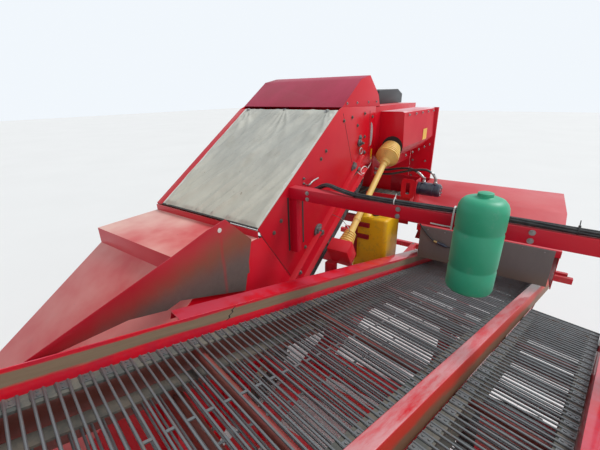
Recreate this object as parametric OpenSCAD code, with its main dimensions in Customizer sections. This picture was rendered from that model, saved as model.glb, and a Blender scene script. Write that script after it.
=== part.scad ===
// Trailed one-row potato harvester with a side elevator, a skewed picking table and a bunker.
// Origin: on the ground, under the centre of the machine's box. +X is the way of travel,
// +Y is the pickers' side, +Z is up. All sizes are in millimetres.

/* [Running gear] */
// Outer radius of a tyre
wheel_r = 580; // [540:5:600]
// Width of a tyre
wheel_w = 500; // [420:10:520]
// Radius of the rim's bead seat
rim_r = 290; // [260:5:310]
// Place of the axle along the machine
axle_x = -1300; // [-1400:10:-1250]
// Middle of the wheel under the elevator
wheel_right_y = -1300; // [-1320:5:-1290]
// Middle of the wheel under the picking table
wheel_left_y = 1150; // [1130:5:1180]
// Side of the square axle tube
axle_side = 120; // [100:5:140]
// Radius of the wheel spindles
spindle_r = 45; // [35:1:50]

/* [Main frame] */
// Height of the underside of the main beams
beam_z = 880; // [870:5:890]
// Height of the main beams
beam_h = 180; // [160:5:190]
// Width of the main beams
beam_w = 120; // [90:5:140]
// Outer side of the middle beam, beside the elevator
beam_mid_y = -405; // [-408:1:-402]
// Outer side of the left beam
beam_left_y = 680; // [660:5:700]
// Front end of the main beams
frame_front_x = 2250; // [2200:10:2300]
// Rear end of the main beams
frame_rear_x = -3350; // [-3400:10:-3300]
// Rear face of the light bar
light_bar_x = -4450; // [-4500:10:-4400]
// Width of the light bar
light_bar_w = 3440; // [3200:20:3440]

/* [Drawbar] */
// Height of the hitch eye's middle
hitch_z = 600; // [580:5:620]
// Front tip of the hitch eye
hitch_tip_x = 4450; // [4400:10:4500]
// Radius of the hitch eye's bore
hitch_bore_r = 25.5; // [20:0.5:30]
// Thickness of the hitch eye
hitch_t = 45; // [35:1:50]
// Side of the drawbar's square tube
drawbar_side = 160; // [140:5:170]
// Place of the drawbar across the machine
drawbar_y = 130; // [120:5:150]
// Place of the drawbar's pivot along the machine
drawbar_pivot_x = 2350; // [2340:5:2360]
// Radius of the drawbar's pivot pin
pivot_pin_r = 30; // [25:1:35]
// Place of the parking stand along the machine
stand_x = 3600; // [3500:10:3700]
// Side of the parking stand's square leg
stand_side = 70; // [60:5:80]

/* [Digging unit] */
// Place along the machine of the digging unit's pivot
dig_x = 1466; // [1460:1:1470]
// Height of the digging unit's pivot
dig_z = 685; // [680:1:690]
// Length of the digging web between its rollers
dig_len = 1250; // [1230:5:1260]
// Slope of the digging web in degrees
dig_angle = 18.6; // [18:0.1:19]
// Radius of the two coulter discs
disc_r = 300; // [280:5:310]
// Largest radius of the ridge roller
ridge_r = 230; // [200:5:240]

/* [Elevator] */
// Slope of the elevator in degrees
elevator_angle = 33.1; // [32.8:0.1:33.4]
// Place along the machine of the cloth cover's low corner
elevator_x = -716; // [-718:1:-714]
// Height of the cloth cover's low corner
elevator_z = 2465; // [2463:1:2467]
// Length of the cloth cover along the slope
cover_len = 1292; // [1285:1:1296]
// Outer face of the side panel next to the picking table
panel_left_y = -460; // [-462:1:-458]
// Outer face of the far side panel
panel_right_y = -1593; // [-1596:1:-1590]
// Thickness of the housing's sheet metal
sheet = 6; // [4:0.5:7]
// Depth of the housing, square to the slope
housing_depth = 805; // [800:1:810]
// Height of the channel along the housing's lower edge
channel_h = 175; // [150:5:190]
// How far the channel stands out from the panel
channel_out = 50; // [40:1:55]
// Distance between the rods of the digging and elevator webs
web_pitch = 50; // [45:1:60]

/* [Picking table] */
// Slope of the picking table in degrees, rising to the front
table_rise = 12.06; // [12:0.02:12.12]
// Skew of the picking table in plan, in degrees
table_skew = 11.5; // [11.4:0.1:11.6]
// Distance between two pairs of rods on the picking table
pair_pitch = 77; // [74:1:82]
// Distance between the two rods of a pair
rod_gap = 37; // [34:1:40]
// Diameter of a web rod
rod_d = 11; // [9:0.5:12]
// Height of the table's walls above the web
wall_h = 105; // [95:1:110]

/* [Bunker] */
// Rear face of the bunker
bunker_x = 1150; // [1140:5:1160]
// Length of the bunker along the machine
bunker_len = 1800; // [1750:10:1850]
// Height of the bunker's rim
bunker_top = 2640; // [2600:5:2660]
// Height of the bunker's floor plate
bunker_floor_z = 1330; // [1325:1:1335]
// Height of the discharge flap's hinge
flap_z = 1750; // [1740:5:1760]

/* [Platform] */
// Height of the pickers' platform
deck_z = 1420; // [1410:5:1425]
// Outer edge of the platform
deck_out_y = 1680; // [1675:1:1682]
// Height of the railing above the platform
rail_h = 1050; // [1000:10:1100]

/* [Hidden] */
red = [0.72, 0.05, 0.09];
dark = [0.16, 0.16, 0.17];
steel = [0.5, 0.5, 0.5];
clear = 0.3;
running = 0.05;
beam_top = beam_z + beam_h;
plane_size = 9000;

// Reference point of the picking table, on the tops of its rods
table_at = [1005, 899, 2322];

// A box between two values on each axis
module block(x, y, z) {
  translate([x[0], y[0], z[0]]) cube([x[1] - x[0], y[1] - y[0], z[1] - z[0]]);
}

// A round bar along Y
module bar_y(x, z, y, r) {
  translate([x, y[0], z]) rotate([-90, 0, 0]) cylinder(h = y[1] - y[0], r = r, $fn = 48);
}

// A plate whose outline lies in the XZ plane
module plate_xz(outline, y0, t) {
  translate([0, y0 + t, 0]) rotate([90, 0, 0]) linear_extrude(t) polygon(outline);
}

// A section in the YZ plane, drawn out along X
module run_x(section, x) {
  translate([x[0], 0, 0]) rotate([90, 0, 90]) linear_extrude(x[1] - x[0]) polygon(section);
}

// The elevator's own frame: -X climbs along the cloth cover, Z is square to it
module on_elevator() {
  translate([elevator_x, 0, elevator_z]) rotate([0, elevator_angle, 0]) children();
}

// A point of the elevator's own frame, seen in the machine's side view
function from_elevator(x, z) = [
  elevator_x + x * cos(elevator_angle) + z * sin(elevator_angle),
  elevator_z - x * sin(elevator_angle) + z * cos(elevator_angle)];

// The picking table's own frame: +X climbs to the bunker, Z is square to the web
module on_table() {
  translate(table_at) rotate([0, -table_rise, -table_skew]) children();
}

// What is left of its children below a plane parallel to the picking table
module under_table(depth) {
  intersection() {
    children();
    on_table() translate([-plane_size, -plane_size / 2, -plane_size - depth])
      cube([2 * plane_size, plane_size, plane_size]);
  }
}

// One side belt of a web, round two rollers
module belt_loop(x, r, t, y) {
  difference() {
    belt_body(x, r, y);
    belt_body(x, r - t, [y[0] - 1, y[1] + 1]);
  }
}

module belt_body(x, r, y) {
  for (end = x) bar_y(end, 0, y, r);
  block(x, y, [-r, r]);
}

// A rod web: two side belts on a drum at each end, and rods on the carrying run, fewer below
module rod_web(x, r, y, walls, belt, offsets, every) {
  belt_loop(x, r, belt_t, [y[0], y[0] + belt]);
  belt_loop(x, r, belt_t, [y[1] - belt, y[1]]);
  for (end = x) {
    bar_y(end, 0, y, r - belt_t + 1);
    bar_y(end, 0, [walls[0] + clear, walls[1] - clear], drum_shaft_r);
  }
  for (i = [0:len(offsets) - 1]) {
    web_rod(x[0] + offsets[i], r, y);
    if (i % every == 0) web_rod(x[0] + offsets[i], -r, y);
  }
}

module web_rod(x, z, y) {
  side = rod_d * 0.886;
  translate([x, y[0], z + sign(z) * (rod_d / 2 - rod_sunk)]) rotate([-90, 45, 0])
    cylinder(h = y[1] - y[0], r = rod_d / 2, $fn = 4);
}

belt_t = 12;
rod_sunk = 2.5;
drum_shaft_r = 22;

// Running gear

module wheel_at(y) {
  translate([axle_x, y, wheel_r]) rotate([-90, 0, 0]) children();
}

tyre_wall = 30;
tyre_shoulder = 60;
lug_h = 28;
lug_count = 20;
lug_w = 34;
lug_turn = 38;
flange_h = 20;
flange_t = 6;
bead_in = 62;

// Half of a tyre's wall as points of radius and width; side is -1 or 1
function tyre_side(side) = let (w = wheel_w / 2, crown = wheel_r - lug_h) [
  [rim_r + clear, side * (w - bead_in)], [rim_r + flange_h + 4, side * (w - bead_in)],
  [rim_r + flange_h + 16, side * (w - 26)], [rim_r + 100, side * w], [crown - tyre_shoulder, side * (w - 8)],
  [crown - 16, side * (w - 40)], [crown, side * (w - 85)]];

function tyre_lining(side) = let (w = wheel_w / 2, crown = wheel_r - lug_h) [
  [rim_r + clear, side * (w - bead_in - 40)], [rim_r + 80, side * (w - 85)],
  [crown - tyre_wall, side * (w - 120)]];

function reversed(list) = [for (i = [len(list) - 1:-1:0]) list[i]];

module tyre() {
  color(dark) {
    rotate_extrude($fn = 72) polygon(concat(
      tyre_side(-1), reversed(tyre_side(1)), tyre_lining(1), reversed(tyre_lining(-1))));
    for (i = [0:lug_count - 1], side = [-1, 1]) rotate([0, 0, (i + side / 4) * 360 / lug_count]) tyre_lug(side);
  }
}

// One tread lug, from near the middle of the tyre out over its shoulder
module tyre_lug(side) {
  w = wheel_w / 2;
  crown = wheel_r - lug_h;
  intersection() {
    translate([crown - 25, 0, side * 8]) rotate([side * -lug_turn, 0, 0])
      translate([0, -lug_w / 2, side > 0 ? 0 : -w * 1.3]) cube([60, lug_w, w * 1.3]);
    translate([0, 0, -w + 12]) cylinder(h = 2 * w - 24, r = wheel_r, $fn = 72);
  }
}

hub_half = 90;
hub_r = 75;

module rim() {
  w = wheel_w / 2 - bead_in + clear;
  color([0.85, 0.8, 0.72]) {
    rotate_extrude($fn = 72) polygon([
      [rim_r - 12, -w - flange_t], [rim_r + flange_h, -w - flange_t], [rim_r + flange_h, -w], [rim_r, -w],
      [rim_r, w], [rim_r + flange_h, w], [rim_r + flange_h, w + flange_t], [rim_r - 12, w + flange_t]]);
    difference() {
      cylinder(h = 14, r = rim_r - 6, center = true, $fn = 72);
      cylinder(h = 20, r = spindle_r + running, center = true, $fn = 72);
      for (i = [0:5]) rotate([0, 0, i * 60]) translate([rim_r * 0.62, 0, 0])
        cylinder(h = 20, r = 38, center = true, $fn = 40);
    }
    difference() {
      cylinder(h = 2 * hub_half, r = hub_r, center = true, $fn = 72);
      cylinder(h = 2 * hub_half + 2, r = spindle_r + running, center = true, $fn = 72);
    }
  }
}

module axle() {
  inner_right = wheel_right_y + wheel_w / 2 + 40;
  inner_left = wheel_left_y - wheel_w / 2 - 40;
  s = axle_side / 2;
  color(red) {
    block([axle_x - s, axle_x + s], [inner_right, inner_left], [wheel_r - s, wheel_r + s]);
    bar_y(axle_x, wheel_r, [wheel_right_y - hub_half - 14, inner_right + 1], spindle_r);
    bar_y(axle_x, wheel_r, [inner_left - 1, wheel_left_y + hub_half + 14], spindle_r);
    bar_y(axle_x, wheel_r, [wheel_right_y - hub_half - 14, wheel_right_y - hub_half - 2], hub_r - 5);
    bar_y(axle_x, wheel_r, [wheel_left_y + hub_half + 2, wheel_left_y + hub_half + 14], hub_r - 5);
    bar_y(axle_x, wheel_r, [wheel_right_y + hub_half + 2, inner_right + 1], spindle_r + 20);
    bar_y(axle_x, wheel_r, [inner_left - 1, wheel_left_y - hub_half - 2], spindle_r + 20);
  }
}

// Main frame

bearer_depth = 410;
bearer_x = [-3000, -700];
post_side = 100;

// Where a bearer of the picking table passes over a beam: its place along the machine
function bearer_over(x, y) = let (
  v = (y - table_at[1] + x * cos(table_rise) * sin(table_skew)) / cos(table_skew))
  table_at[0] + x * cos(table_rise) * cos(table_skew) + v * sin(table_skew)
  + (bearer_depth - 40) * sin(table_rise) * cos(table_skew);

module cross_member(x, y) {
  block([x, x + beam_w], y, [beam_z, beam_top]);
}

elevator_cross_x = -520;
lug_t = 25;
lug_reach = 75;
lug_half = 90;
swing_lug_t = 12;
tank_x = [-2500, -2110];
tank_y = [-430, -70];
tank_z = [1540, 2150];

module main_frame() {
  mid = [beam_mid_y, beam_mid_y + beam_w];
  left = [beam_left_y - beam_w, beam_left_y];
  s = axle_side / 2;
  color(red) {
    for (side = [mid, left]) {
      block([frame_rear_x, frame_front_x], side, [beam_z, beam_top]);
      block([axle_x - s, axle_x + s], side, [wheel_r + s, beam_z + 1]);
    }
    cross_member(frame_front_x - beam_w, [mid[0], left[1]]);
    cross_member(axle_x - beam_w / 2, [mid[0], left[1]]);
    cross_member(elevator_cross_x, [panel_right_y, left[1]]);
    cross_member(frame_rear_x, [panel_right_y, left[1]]);
    for (x = bearer_x, beam = [mid, left]) {
      y = (beam[0] + beam[1]) / 2;
      under_table(bearer_depth + clear)
        translate([bearer_over(x, y) - post_side / 2, y - post_side / 2, beam_top - 1])
          cube([post_side, post_side, 1200]);
    }
    for (y = [panel_right_y, panel_left_y - post_side]) elevator_foot(y);
    for (z = [beam_z, beam_top - lug_t])
      block([frame_front_x - 10, drawbar_pivot_x + lug_reach], [drawbar_y - lug_half, drawbar_y + lug_half],
        [z, z + lug_t]);
    translate([drawbar_pivot_x, drawbar_y, beam_z - 15]) cylinder(h = beam_h + 30, r = pivot_pin_r, $fn = 48);
    for (x = [bunker_x + 100, frame_front_x - 200], beam = [mid, left])
      block([x, x + post_side], beam, [beam_top - 1, bunker_floor_z - clear]);
    swing_lugs();
    tank_shelf();
  }
}

// The two lugs and the pin that hold the steering cylinder's barrel
module swing_lugs() {
  for (z = [swing_z + ram_eye_t / 2 + 2, swing_z - ram_eye_t / 2 - 2 - swing_lug_t])
    block([frame_front_x - 1, swing_base[0] + 32], [swing_base[1] - 32, swing_base[1] + 32], [z, z + swing_lug_t]);
  translate([swing_base[0], swing_base[1], swing_z]) cylinder(h = 74, r = ram_pin_r, center = true, $fn = 40);
}

// The shelf under the water tank, on its post
module tank_shelf() {
  block([tank_x[0] - 20, tank_x[1] + 20], [tank_y[0] - 10, tank_y[1] + 10], [tank_z[0] - 30, tank_z[0] - clear]);
  block([tank_x[0] + 80, tank_x[0] + 160], [beam_mid_y + 20, beam_mid_y + 100], [beam_top - 1, tank_z[0] - 29]);
}

// A foot that carries the elevator's housing on the cross member
module elevator_foot(y) {
  x = [elevator_cross_x, elevator_cross_x + beam_w];
  low = from_elevator(0, -housing_depth - clear);
  rise = tan(elevator_angle);
  plate_xz([[x[0], beam_top - 1], [x[1], beam_top - 1], [x[1], low[1] - (x[1] - low[0]) * rise],
    [x[0], low[1] - (x[0] - low[0]) * rise]], y, post_side);
}

lamp_t = 50;

module light_bar() {
  w = light_bar_w / 2;
  x = light_bar_x + lamp_t;
  color(red) {
    block([x, x + 60], [-w, w], [900, 980]);
    for (y = [beam_mid_y, beam_left_y - 80])
      block([x + 59, frame_rear_x], [y, y + 80], [900, 980]);
    for (y = [-w + 60, w - 340]) block([light_bar_x, x + 1], [y, y + 280], [890, 1010]);
  }
}

// Drawbar

drawbar_end_x = 4250;

module drawbar() {
  y = drawbar_y - drawbar_side / 2;
  color(red) difference() {
    union() {
      translate([drawbar_pivot_x, drawbar_y, beam_z + lug_t + 2])
        cylinder(h = beam_h - 2 * lug_t - 4, r = 70, $fn = 48);
      plate_xz([[drawbar_pivot_x, 910], [drawbar_pivot_x, 1030], [2700, 1030], [4120, hitch_z + 80],
        [drawbar_end_x, hitch_z + 80], [drawbar_end_x, hitch_z - 80], [4080, hitch_z - 80], [2700, 880],
        [2500, 907], [2420, 910]], y, drawbar_side);
    }
    translate([drawbar_pivot_x, drawbar_y, beam_z]) cylinder(h = beam_h, r = pivot_pin_r + running, $fn = 48);
    for (z = [[beam_z - 1, beam_z + lug_t + 2], [beam_top - lug_t - 2, beam_top + 1]])
      block([drawbar_pivot_x - 100, drawbar_pivot_x + lug_reach + 30], [y - 1, y + drawbar_side + 1], z);
  }
  color(red) block([swing_eye[0] - 45, swing_eye[0] + 45], [swing_eye[1] - 32, y + 1],
    [swing_z + ram_eye_t / 2 + 7, swing_z + ram_eye_t / 2 + 7 + swing_lug_t]);
  color(steel) bar_y(stand_x, stand_z, [drawbar_y + drawbar_side / 2 - 1, stand_y + stand_side + 14], 16);
}

eye_r = 60;

module hitch_eye() {
  x = hitch_tip_x - eye_r;
  color(steel) difference() {
    union() {
      block([drawbar_end_x, drawbar_end_x + 20], [drawbar_y - 75, drawbar_y + 75], [hitch_z - 75, hitch_z + 75]);
      block([drawbar_end_x + 19, x - 20], [drawbar_y - 35, drawbar_y + 35],
        [hitch_z - hitch_t / 2, hitch_z + hitch_t / 2]);
      translate([x, drawbar_y, hitch_z]) cylinder(h = hitch_t, r = eye_r, center = true, $fn = 64);
    }
    translate([x, drawbar_y, hitch_z]) cylinder(h = hitch_t + 2, r = hitch_bore_r, center = true, $fn = 64);
  }
}

stand_z = 735;
stand_y = 222;

module parking_stand() {
  s = stand_side / 2;
  color(red) difference() {
    union() {
      block([stand_x - s, stand_x + s], [stand_y, stand_y + stand_side], [10, stand_z + 60]);
      block([stand_x - 100, stand_x + 100], [stand_y - 4, stand_y + 126], [0, 12]);
    }
    bar_y(stand_x, stand_z, [stand_y - 1, stand_y + stand_side + 1], 16 + running);
  }
}

module drive_gearbox() {
  color(dark) {
    block([frame_front_x - 190, frame_front_x - 10], [drawbar_y - 110, drawbar_y + 110], [beam_top, beam_top + 230]);
    translate([frame_front_x - 11, drawbar_y, beam_top + 120]) rotate([0, 90, 0])
      cylinder(h = 41, r = 60, $fn = 48);
  }
  color(steel) translate([frame_front_x + 29, drawbar_y, beam_top + 120]) rotate([0, 90, 0])
    cylinder(h = 91, r = 17.45, $fn = 48);
}

// Digging unit

dig_plate_t = 10;
dig_plate_gap = 10;
dig_left_y = panel_left_y - sheet - dig_plate_gap - dig_plate_t;
dig_right_y = panel_right_y + sheet + dig_plate_gap;
dig_mid_y = (dig_left_y + dig_right_y + dig_plate_t) / 2;
dig_pin_r = 25;
dig_roller_r = 85;
disc_at = [2800, 480];
ridge_at = [3000, 650];
share_at = [2790, 335];
share_angle = 24;
collar_r = 35;
ridge_w = 660;

// The share's own frame: X points down and forward along the blades
module on_share() {
  translate([share_at[0], 0, share_at[1]]) rotate([0, share_angle, 0]) children();
}

// A point on the line between the digging web's rollers
function on_dig(x, z) = [
  dig_x + x * cos(dig_angle) + z * sin(dig_angle), dig_z - x * sin(dig_angle) + z * cos(dig_angle)];

module digging_plate(y) {
  difference() {
    plate_xz([[dig_x - 70, dig_z - 70], [dig_x - 85, dig_z + 30], [dig_x, dig_z + 110], [1720, 770],
      [2500, 640], [2900, 730], [3040, 725], [3070, 600], [2880, 400], [2850, 250], [2700, 170], [1560, 555]],
      y, dig_plate_t);
    bar_y(dig_x, dig_z, [y - 1, y + dig_plate_t + 1], dig_pin_r + running);
  }
}

module digging_frame() {
  inner = [dig_right_y + dig_plate_t - 1, dig_left_y + 1];
  color(red) {
    digging_plate(dig_left_y);
    digging_plate(dig_right_y);
    for (at = [400, 850]) {
      p = on_dig(at, 0);
      bar_y(p[0], p[1], inner, 30);
    }
    on_share() block([0, 70], inner, [-24 - clear, -clear]);
    bar_y(ridge_at[0], ridge_at[1], inner, 20);
    bar_y(ridge_at[0], ridge_at[1], [inner[0], dig_mid_y - ridge_w / 2 - 2], collar_r);
    bar_y(ridge_at[0], ridge_at[1], [dig_mid_y + ridge_w / 2 + 2, inner[1]], collar_r);
  }
  color(steel) {
    bar_y(disc_at[0], disc_at[1], [dig_left_y + dig_plate_t - 1, dig_left_y + 66], 15);
    bar_y(disc_at[0], disc_at[1], [dig_left_y + 60, dig_left_y + 66], 30);
    bar_y(disc_at[0], disc_at[1], [dig_right_y - 56, dig_right_y + 1], 15);
    bar_y(disc_at[0], disc_at[1], [dig_right_y - 56, dig_right_y - 50], 30);
    bar_y(lift_eye[0], lift_eye[1], [lift_y + ram_eye_t / 2 + 5, dig_right_y + 1], 28);
  }
}

blade_w = 470;

module share() {
  color(steel) on_share() for (side = [-1, 1])
    translate([0, dig_mid_y + side * (blade_w / 2 + 20), 0]) linear_extrude(12)
      polygon([[0, -blade_w / 2], [200, -blade_w / 2], [350, 0], [200, blade_w / 2], [0, blade_w / 2]]);
}

module digging_web() {
  walls = [dig_right_y + dig_plate_t, dig_left_y];
  color(steel) translate([dig_x, 0, dig_z]) rotate([0, dig_angle, 0])
    rod_web([0, dig_len], dig_roller_r, [walls[0] + 7, walls[1] - 7], walls, 60,
      [for (x = [10:web_pitch:dig_len - 10]) x], 4);
}

module coulter_disc(y) {
  color(steel) difference() {
    union() {
      bar_y(disc_at[0], disc_at[1], [y - 3, y + 3], disc_r);
      bar_y(disc_at[0], disc_at[1], [y - 20, y + 20], 50);
    }
    bar_y(disc_at[0], disc_at[1], [y - 21, y + 21], 15 + running);
  }
}

module ridge_roller() {
  w = ridge_w / 2;
  color(steel) translate([ridge_at[0], dig_mid_y, ridge_at[1]]) rotate([-90, 0, 0]) rotate_extrude($fn = 64)
    polygon([[20 + running, -w], [ridge_r, -w], [ridge_r - 10, -w + 80], [ridge_r - 80, 0],
      [ridge_r - 10, w - 80], [ridge_r, w], [20 + running, w]]);
}

// Hydraulic cylinders

lift_base = [1500, 1130];
lift_eye = [2250, 640];
lift_y = -1650;
ram_eye_t = 30;
swing_base = [2330, -330];
swing_eye = [2960, -10];
swing_z = 930;
ram_r = 36;
ram_rod_r = 18;
ram_pin_r = 15;

// A barrel from its pinned eye at the origin, along +X, for a cylinder of a given closed length
module ram_barrel(length) {
  difference() {
    union() {
      cylinder(h = ram_eye_t, r = 28, center = true, $fn = 40);
      translate([20, -20, -ram_eye_t / 2]) cube([50, 40, ram_eye_t]);
      translate([ram_neck, 0, 0]) rotate([0, 90, 0]) cylinder(h = length * 0.6 - ram_neck, r = ram_r, $fn = 40);
    }
    cylinder(h = 80, r = ram_pin_r + running, center = true, $fn = 40);
    translate([ram_neck + 30, 0, 0]) rotate([0, 90, 0]) cylinder(h = length, r = ram_rod_r + running, $fn = 40);
  }
}

ram_neck = 55;

module ram_rod(length) {
  translate([length * 0.35, 0, 0]) rotate([0, 90, 0]) cylinder(h = length * 0.65 - 20, r = ram_rod_r, $fn = 40);
  translate([length, 0, 0]) cylinder(h = ram_eye_t, r = 28, center = true, $fn = 40);
}

module at_lift() {
  d = lift_eye - lift_base;
  translate([lift_base[0], lift_y, lift_base[1]]) rotate([-90, 0, 0]) rotate([0, 0, -atan2(d[1], d[0])]) children();
}

module at_swing() {
  d = swing_eye - swing_base;
  translate([swing_base[0], swing_base[1], swing_z]) rotate([0, 0, atan2(d[1], d[0])]) children();
}

// Elevator housing

cover_top = from_elevator(-cover_len, 0);
hood_outline = [for (p = [[-64, 22.5], [-417, 251.4], [-616, 289.4], [-847, 116.5], [-898, 5.5]]) cover_top + p];

panel_rear_x = hood_outline[4][0] + 96;

// Height of the hood's foot over a place along the machine
function hood_foot(x) = let (a = hood_outline[0], b = hood_outline[4])
  a[1] + (x - a[0]) * (b[1] - a[1]) / (b[0] - a[0]);

module upper_panel(y) {
  top = from_elevator(-cover_len, -clear);
  foot = from_elevator(0, -housing_depth);
  front = hood_outline[0][0];
  plate_xz([from_elevator(0, -clear), foot, from_elevator(-1500, -housing_depth), [panel_rear_x, 2600],
    [panel_rear_x, hood_foot(panel_rear_x) - clear], [front, hood_foot(front) - clear], top], y, sheet);
}

module panel_left() {
  color(red) upper_panel(panel_left_y - sheet);
}

rail_in = 78;

module panel_right() {
  color(red) upper_panel(panel_right_y);
}

step_x = -222;
step_z = 2400;
step_low_z = 2287;
chute_front = [900, 1555];

module lower_side(y) {
  gap = 2;
  plate_xz([[elevator_x + gap, step_z - clear], [step_x - clear, step_z - clear],
    [step_x - clear, step_low_z - clear], [chute_front[0], chute_front[1] - clear - 1],
    [bunker_x - 20, bunker_floor_z + 10], [1755, 997],
    from_elevator(channel_ends[1], 0), from_elevator(channel_ends[1], -housing_depth),
    from_elevator(gap, -housing_depth), from_elevator(gap, -80)], y, sheet);
}

module lower_side_left() {
  color(red) {
    lower_side(panel_left_y - sheet);
    bar_y(dig_x, dig_z, [dig_left_y, panel_left_y - 1], dig_pin_r);
    translate([0, panel_left_y, 0]) channel();
  }
}

module lower_side_right() {
  color(red) {
    lower_side(panel_right_y);
    bar_y(dig_x, dig_z, [panel_right_y + 1, dig_right_y + dig_plate_t], dig_pin_r);
    plate_xz([[lift_base[0] - 160, lift_base[1] - 120], [lift_base[0] + 60, lift_base[1] - 120],
      [lift_base[0] + 50, lift_base[1] + 30], [lift_base[0] - 30, lift_base[1] + 40]],
      panel_right_y - 10, 11);
    bar_y(lift_base[0], lift_base[1], [lift_y - ram_eye_t / 2 - 6, panel_right_y - 9], ram_pin_r);
    bar_y(lift_base[0], lift_base[1], [lift_y + ram_eye_t / 2 + 2, panel_right_y - 9], 30);
    translate([0, panel_right_y, 0]) mirror([0, 1, 0]) channel();
  }
}

channel_ends = [-1450, 2950];

// A channel along the housing's lower edge, open to the outside, which carries the upper panel too
module channel() {
  on_elevator() {
    difference() {
      block(channel_ends, [clear, channel_out], [-housing_depth, channel_h - housing_depth]);
      block([channel_ends[0] - 1, channel_ends[1] + 1], [sheet, channel_out + 1],
        [sheet - housing_depth, channel_h - housing_depth - sheet]);
    }
    block([20, channel_ends[1] - 20], [-1, sheet], [20 - housing_depth, channel_h - housing_depth - 20]);
  }
}

module front_cover() {
  t = sheet;
  color(red) plate_xz([[elevator_x, step_z], [step_x, step_z], [step_x, step_low_z], chute_front,
    [chute_front[0] + 3.5, chute_front[1] + 5.5], [step_x + t, step_low_z + 3], [step_x + t, step_z + t],
    [elevator_x + t, step_z + t], [elevator_x + t, elevator_z - 10], [elevator_x, elevator_z - 10]],
    panel_right_y, panel_left_y - panel_right_y);
}

module cloth_cover() {
  color([0.78, 0.76, 0.66]) on_elevator()
    block([-cover_len + 4, 2], [panel_right_y + rail_in + 3, panel_left_y - 2], [0, 4]);
}

// The rail along the cloth cover's far side, with the bars under the cloth
module cover_frame() {
  walls = [panel_right_y + sheet + clear, panel_left_y - sheet - clear];
  color(red) on_elevator() {
    block([-cover_len, 0], [walls[0], panel_right_y + rail_in], [-sheet - clear, -clear]);
    for (i = [0:4]) bar_y(-cover_len + 40 + i * (cover_len - 80) / 4, -10 - clear, walls, 10);
  }
}

module hood() {
  ends = [hood_outline[0][0] - 12, hood_outline[4][0] + 8];
  inner = [for (p = [[-841, 112.5], [-614, 281.5], [-419, 244.5]]) cover_top + p];
  color(red) {
    plate_xz(concat(hood_outline, [[ends[1], hood_foot(ends[1])]], inner, [[ends[0], hood_foot(ends[0])]]),
      panel_right_y, panel_left_y - panel_right_y);
    for (y = [panel_right_y, panel_left_y - sheet]) plate_xz(hood_outline, y, sheet);
  }
}

web_drop = 590;
elevator_ends = [-1700, 2600];
elevator_roller_r = 105;
elevator_web_y = [panel_right_y + sheet + 16, panel_left_y - sheet - 16];

module elevator_web() {
  color(steel) on_elevator() translate([0, 0, -web_drop])
    rod_web(elevator_ends, elevator_roller_r, elevator_web_y, [panel_right_y + sheet, panel_left_y - sheet],
      60, [for (x = [20:web_pitch:elevator_ends[1] - elevator_ends[0] - 20]) x], 5);
}

module guide_plate() {
  color(red) plate_xz([[-431, 2631], [-290, 2609], [-62, 2549], [181, 2492], [620, 2392], [600, 2370],
    [214, 2336], [18, 2272], [-64, 2284], [-546, 2090], [-636, 2428]], panel_left_y + 8, 4);
  color(red) block([-600, -560], [panel_left_y + clear, panel_left_y + 9], [2200, 2380]);
}

// Rear of the machine

rear_x = -3950;
rear_top = 3170;
rail_top = 1949;
rail_side = 80;

module rear_frame() {
  rail = [rail_top - rail_side, rail_top];
  color(red) {
    for (y = [panel_right_y, panel_left_y - rail_side]) {
      block([frame_rear_x, frame_rear_x + rail_side], [y, y + rail_side], [beam_top, rail_top - 1]);
      block([rear_x, panel_rear_x], [y, y + rail_side], rail);
    }
    for (x = [rear_x, frame_rear_x, panel_rear_x - rail_side])
      block([x, x + rail_side], [panel_right_y + rail_side - 1, panel_left_y - rail_side + 1], rail);
  }
}

module rear_casing() {
  low = rail_top + clear;
  front = panel_rear_x - clear;
  color(red) {
    block([rear_x, front], [panel_right_y, panel_right_y + sheet], [low, rear_top]);
    block([rear_x, rear_x + sheet], [panel_right_y, panel_left_y], [low, rear_top]);
    block([rear_x, front], [panel_left_y - sheet, panel_left_y], [cross_exit_z, rear_top]);
    block([rear_x, hood_outline[4][0] - clear], [panel_right_y, panel_left_y], [rear_top - 1, rear_top + sheet]);
  }
}

cross_exit_z = 2450;
cross_web_z = 2030;
cross_web_r = 60;
cross_web_x = [-3420, -2700];
cross_web_y = [-1480, 260];

// The web across the machine, from under the elevator's head to the picking table
module cross_web() {
  color(dark) {
    translate([0, 0, cross_web_z]) difference() {
      cross_loop(cross_web_r, cross_web_x);
      cross_loop(cross_web_r - belt_t, [cross_web_x[0] - 1, cross_web_x[1] + 1]);
    }
    for (y = cross_web_y) translate([cross_web_x[0] - 20, y, cross_web_z]) rotate([0, 90, 0])
      cylinder(h = cross_web_x[1] - cross_web_x[0] + 40, r = cross_web_r - belt_t + 1, $fn = 48);
    for (x = [cross_web_x[0] + 20, cross_web_x[1] - 60]) {
      block([x, x + 40], [panel_left_y - 60, panel_left_y - 20], [rail_top + clear, cross_web_z - cross_web_r + 1]);
      block([x, x + 40], [cross_web_y[0] + 5, cross_web_y[0] + 45],
        [rail_top - rail_side / 2, cross_web_z - cross_web_r + 1]);
      block([x, x + 40], [panel_right_y + rail_side + clear, cross_web_y[0] + 45],
        [rail_top - rail_side / 2, rail_top]);
    }
  }
}

module cross_loop(r, x) {
  for (y = cross_web_y) translate([x[0], y, 0]) rotate([0, 90, 0]) cylinder(h = x[1] - x[0], r = r, $fn = 48);
  block(x, cross_web_y, [-r, r]);
}

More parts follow.
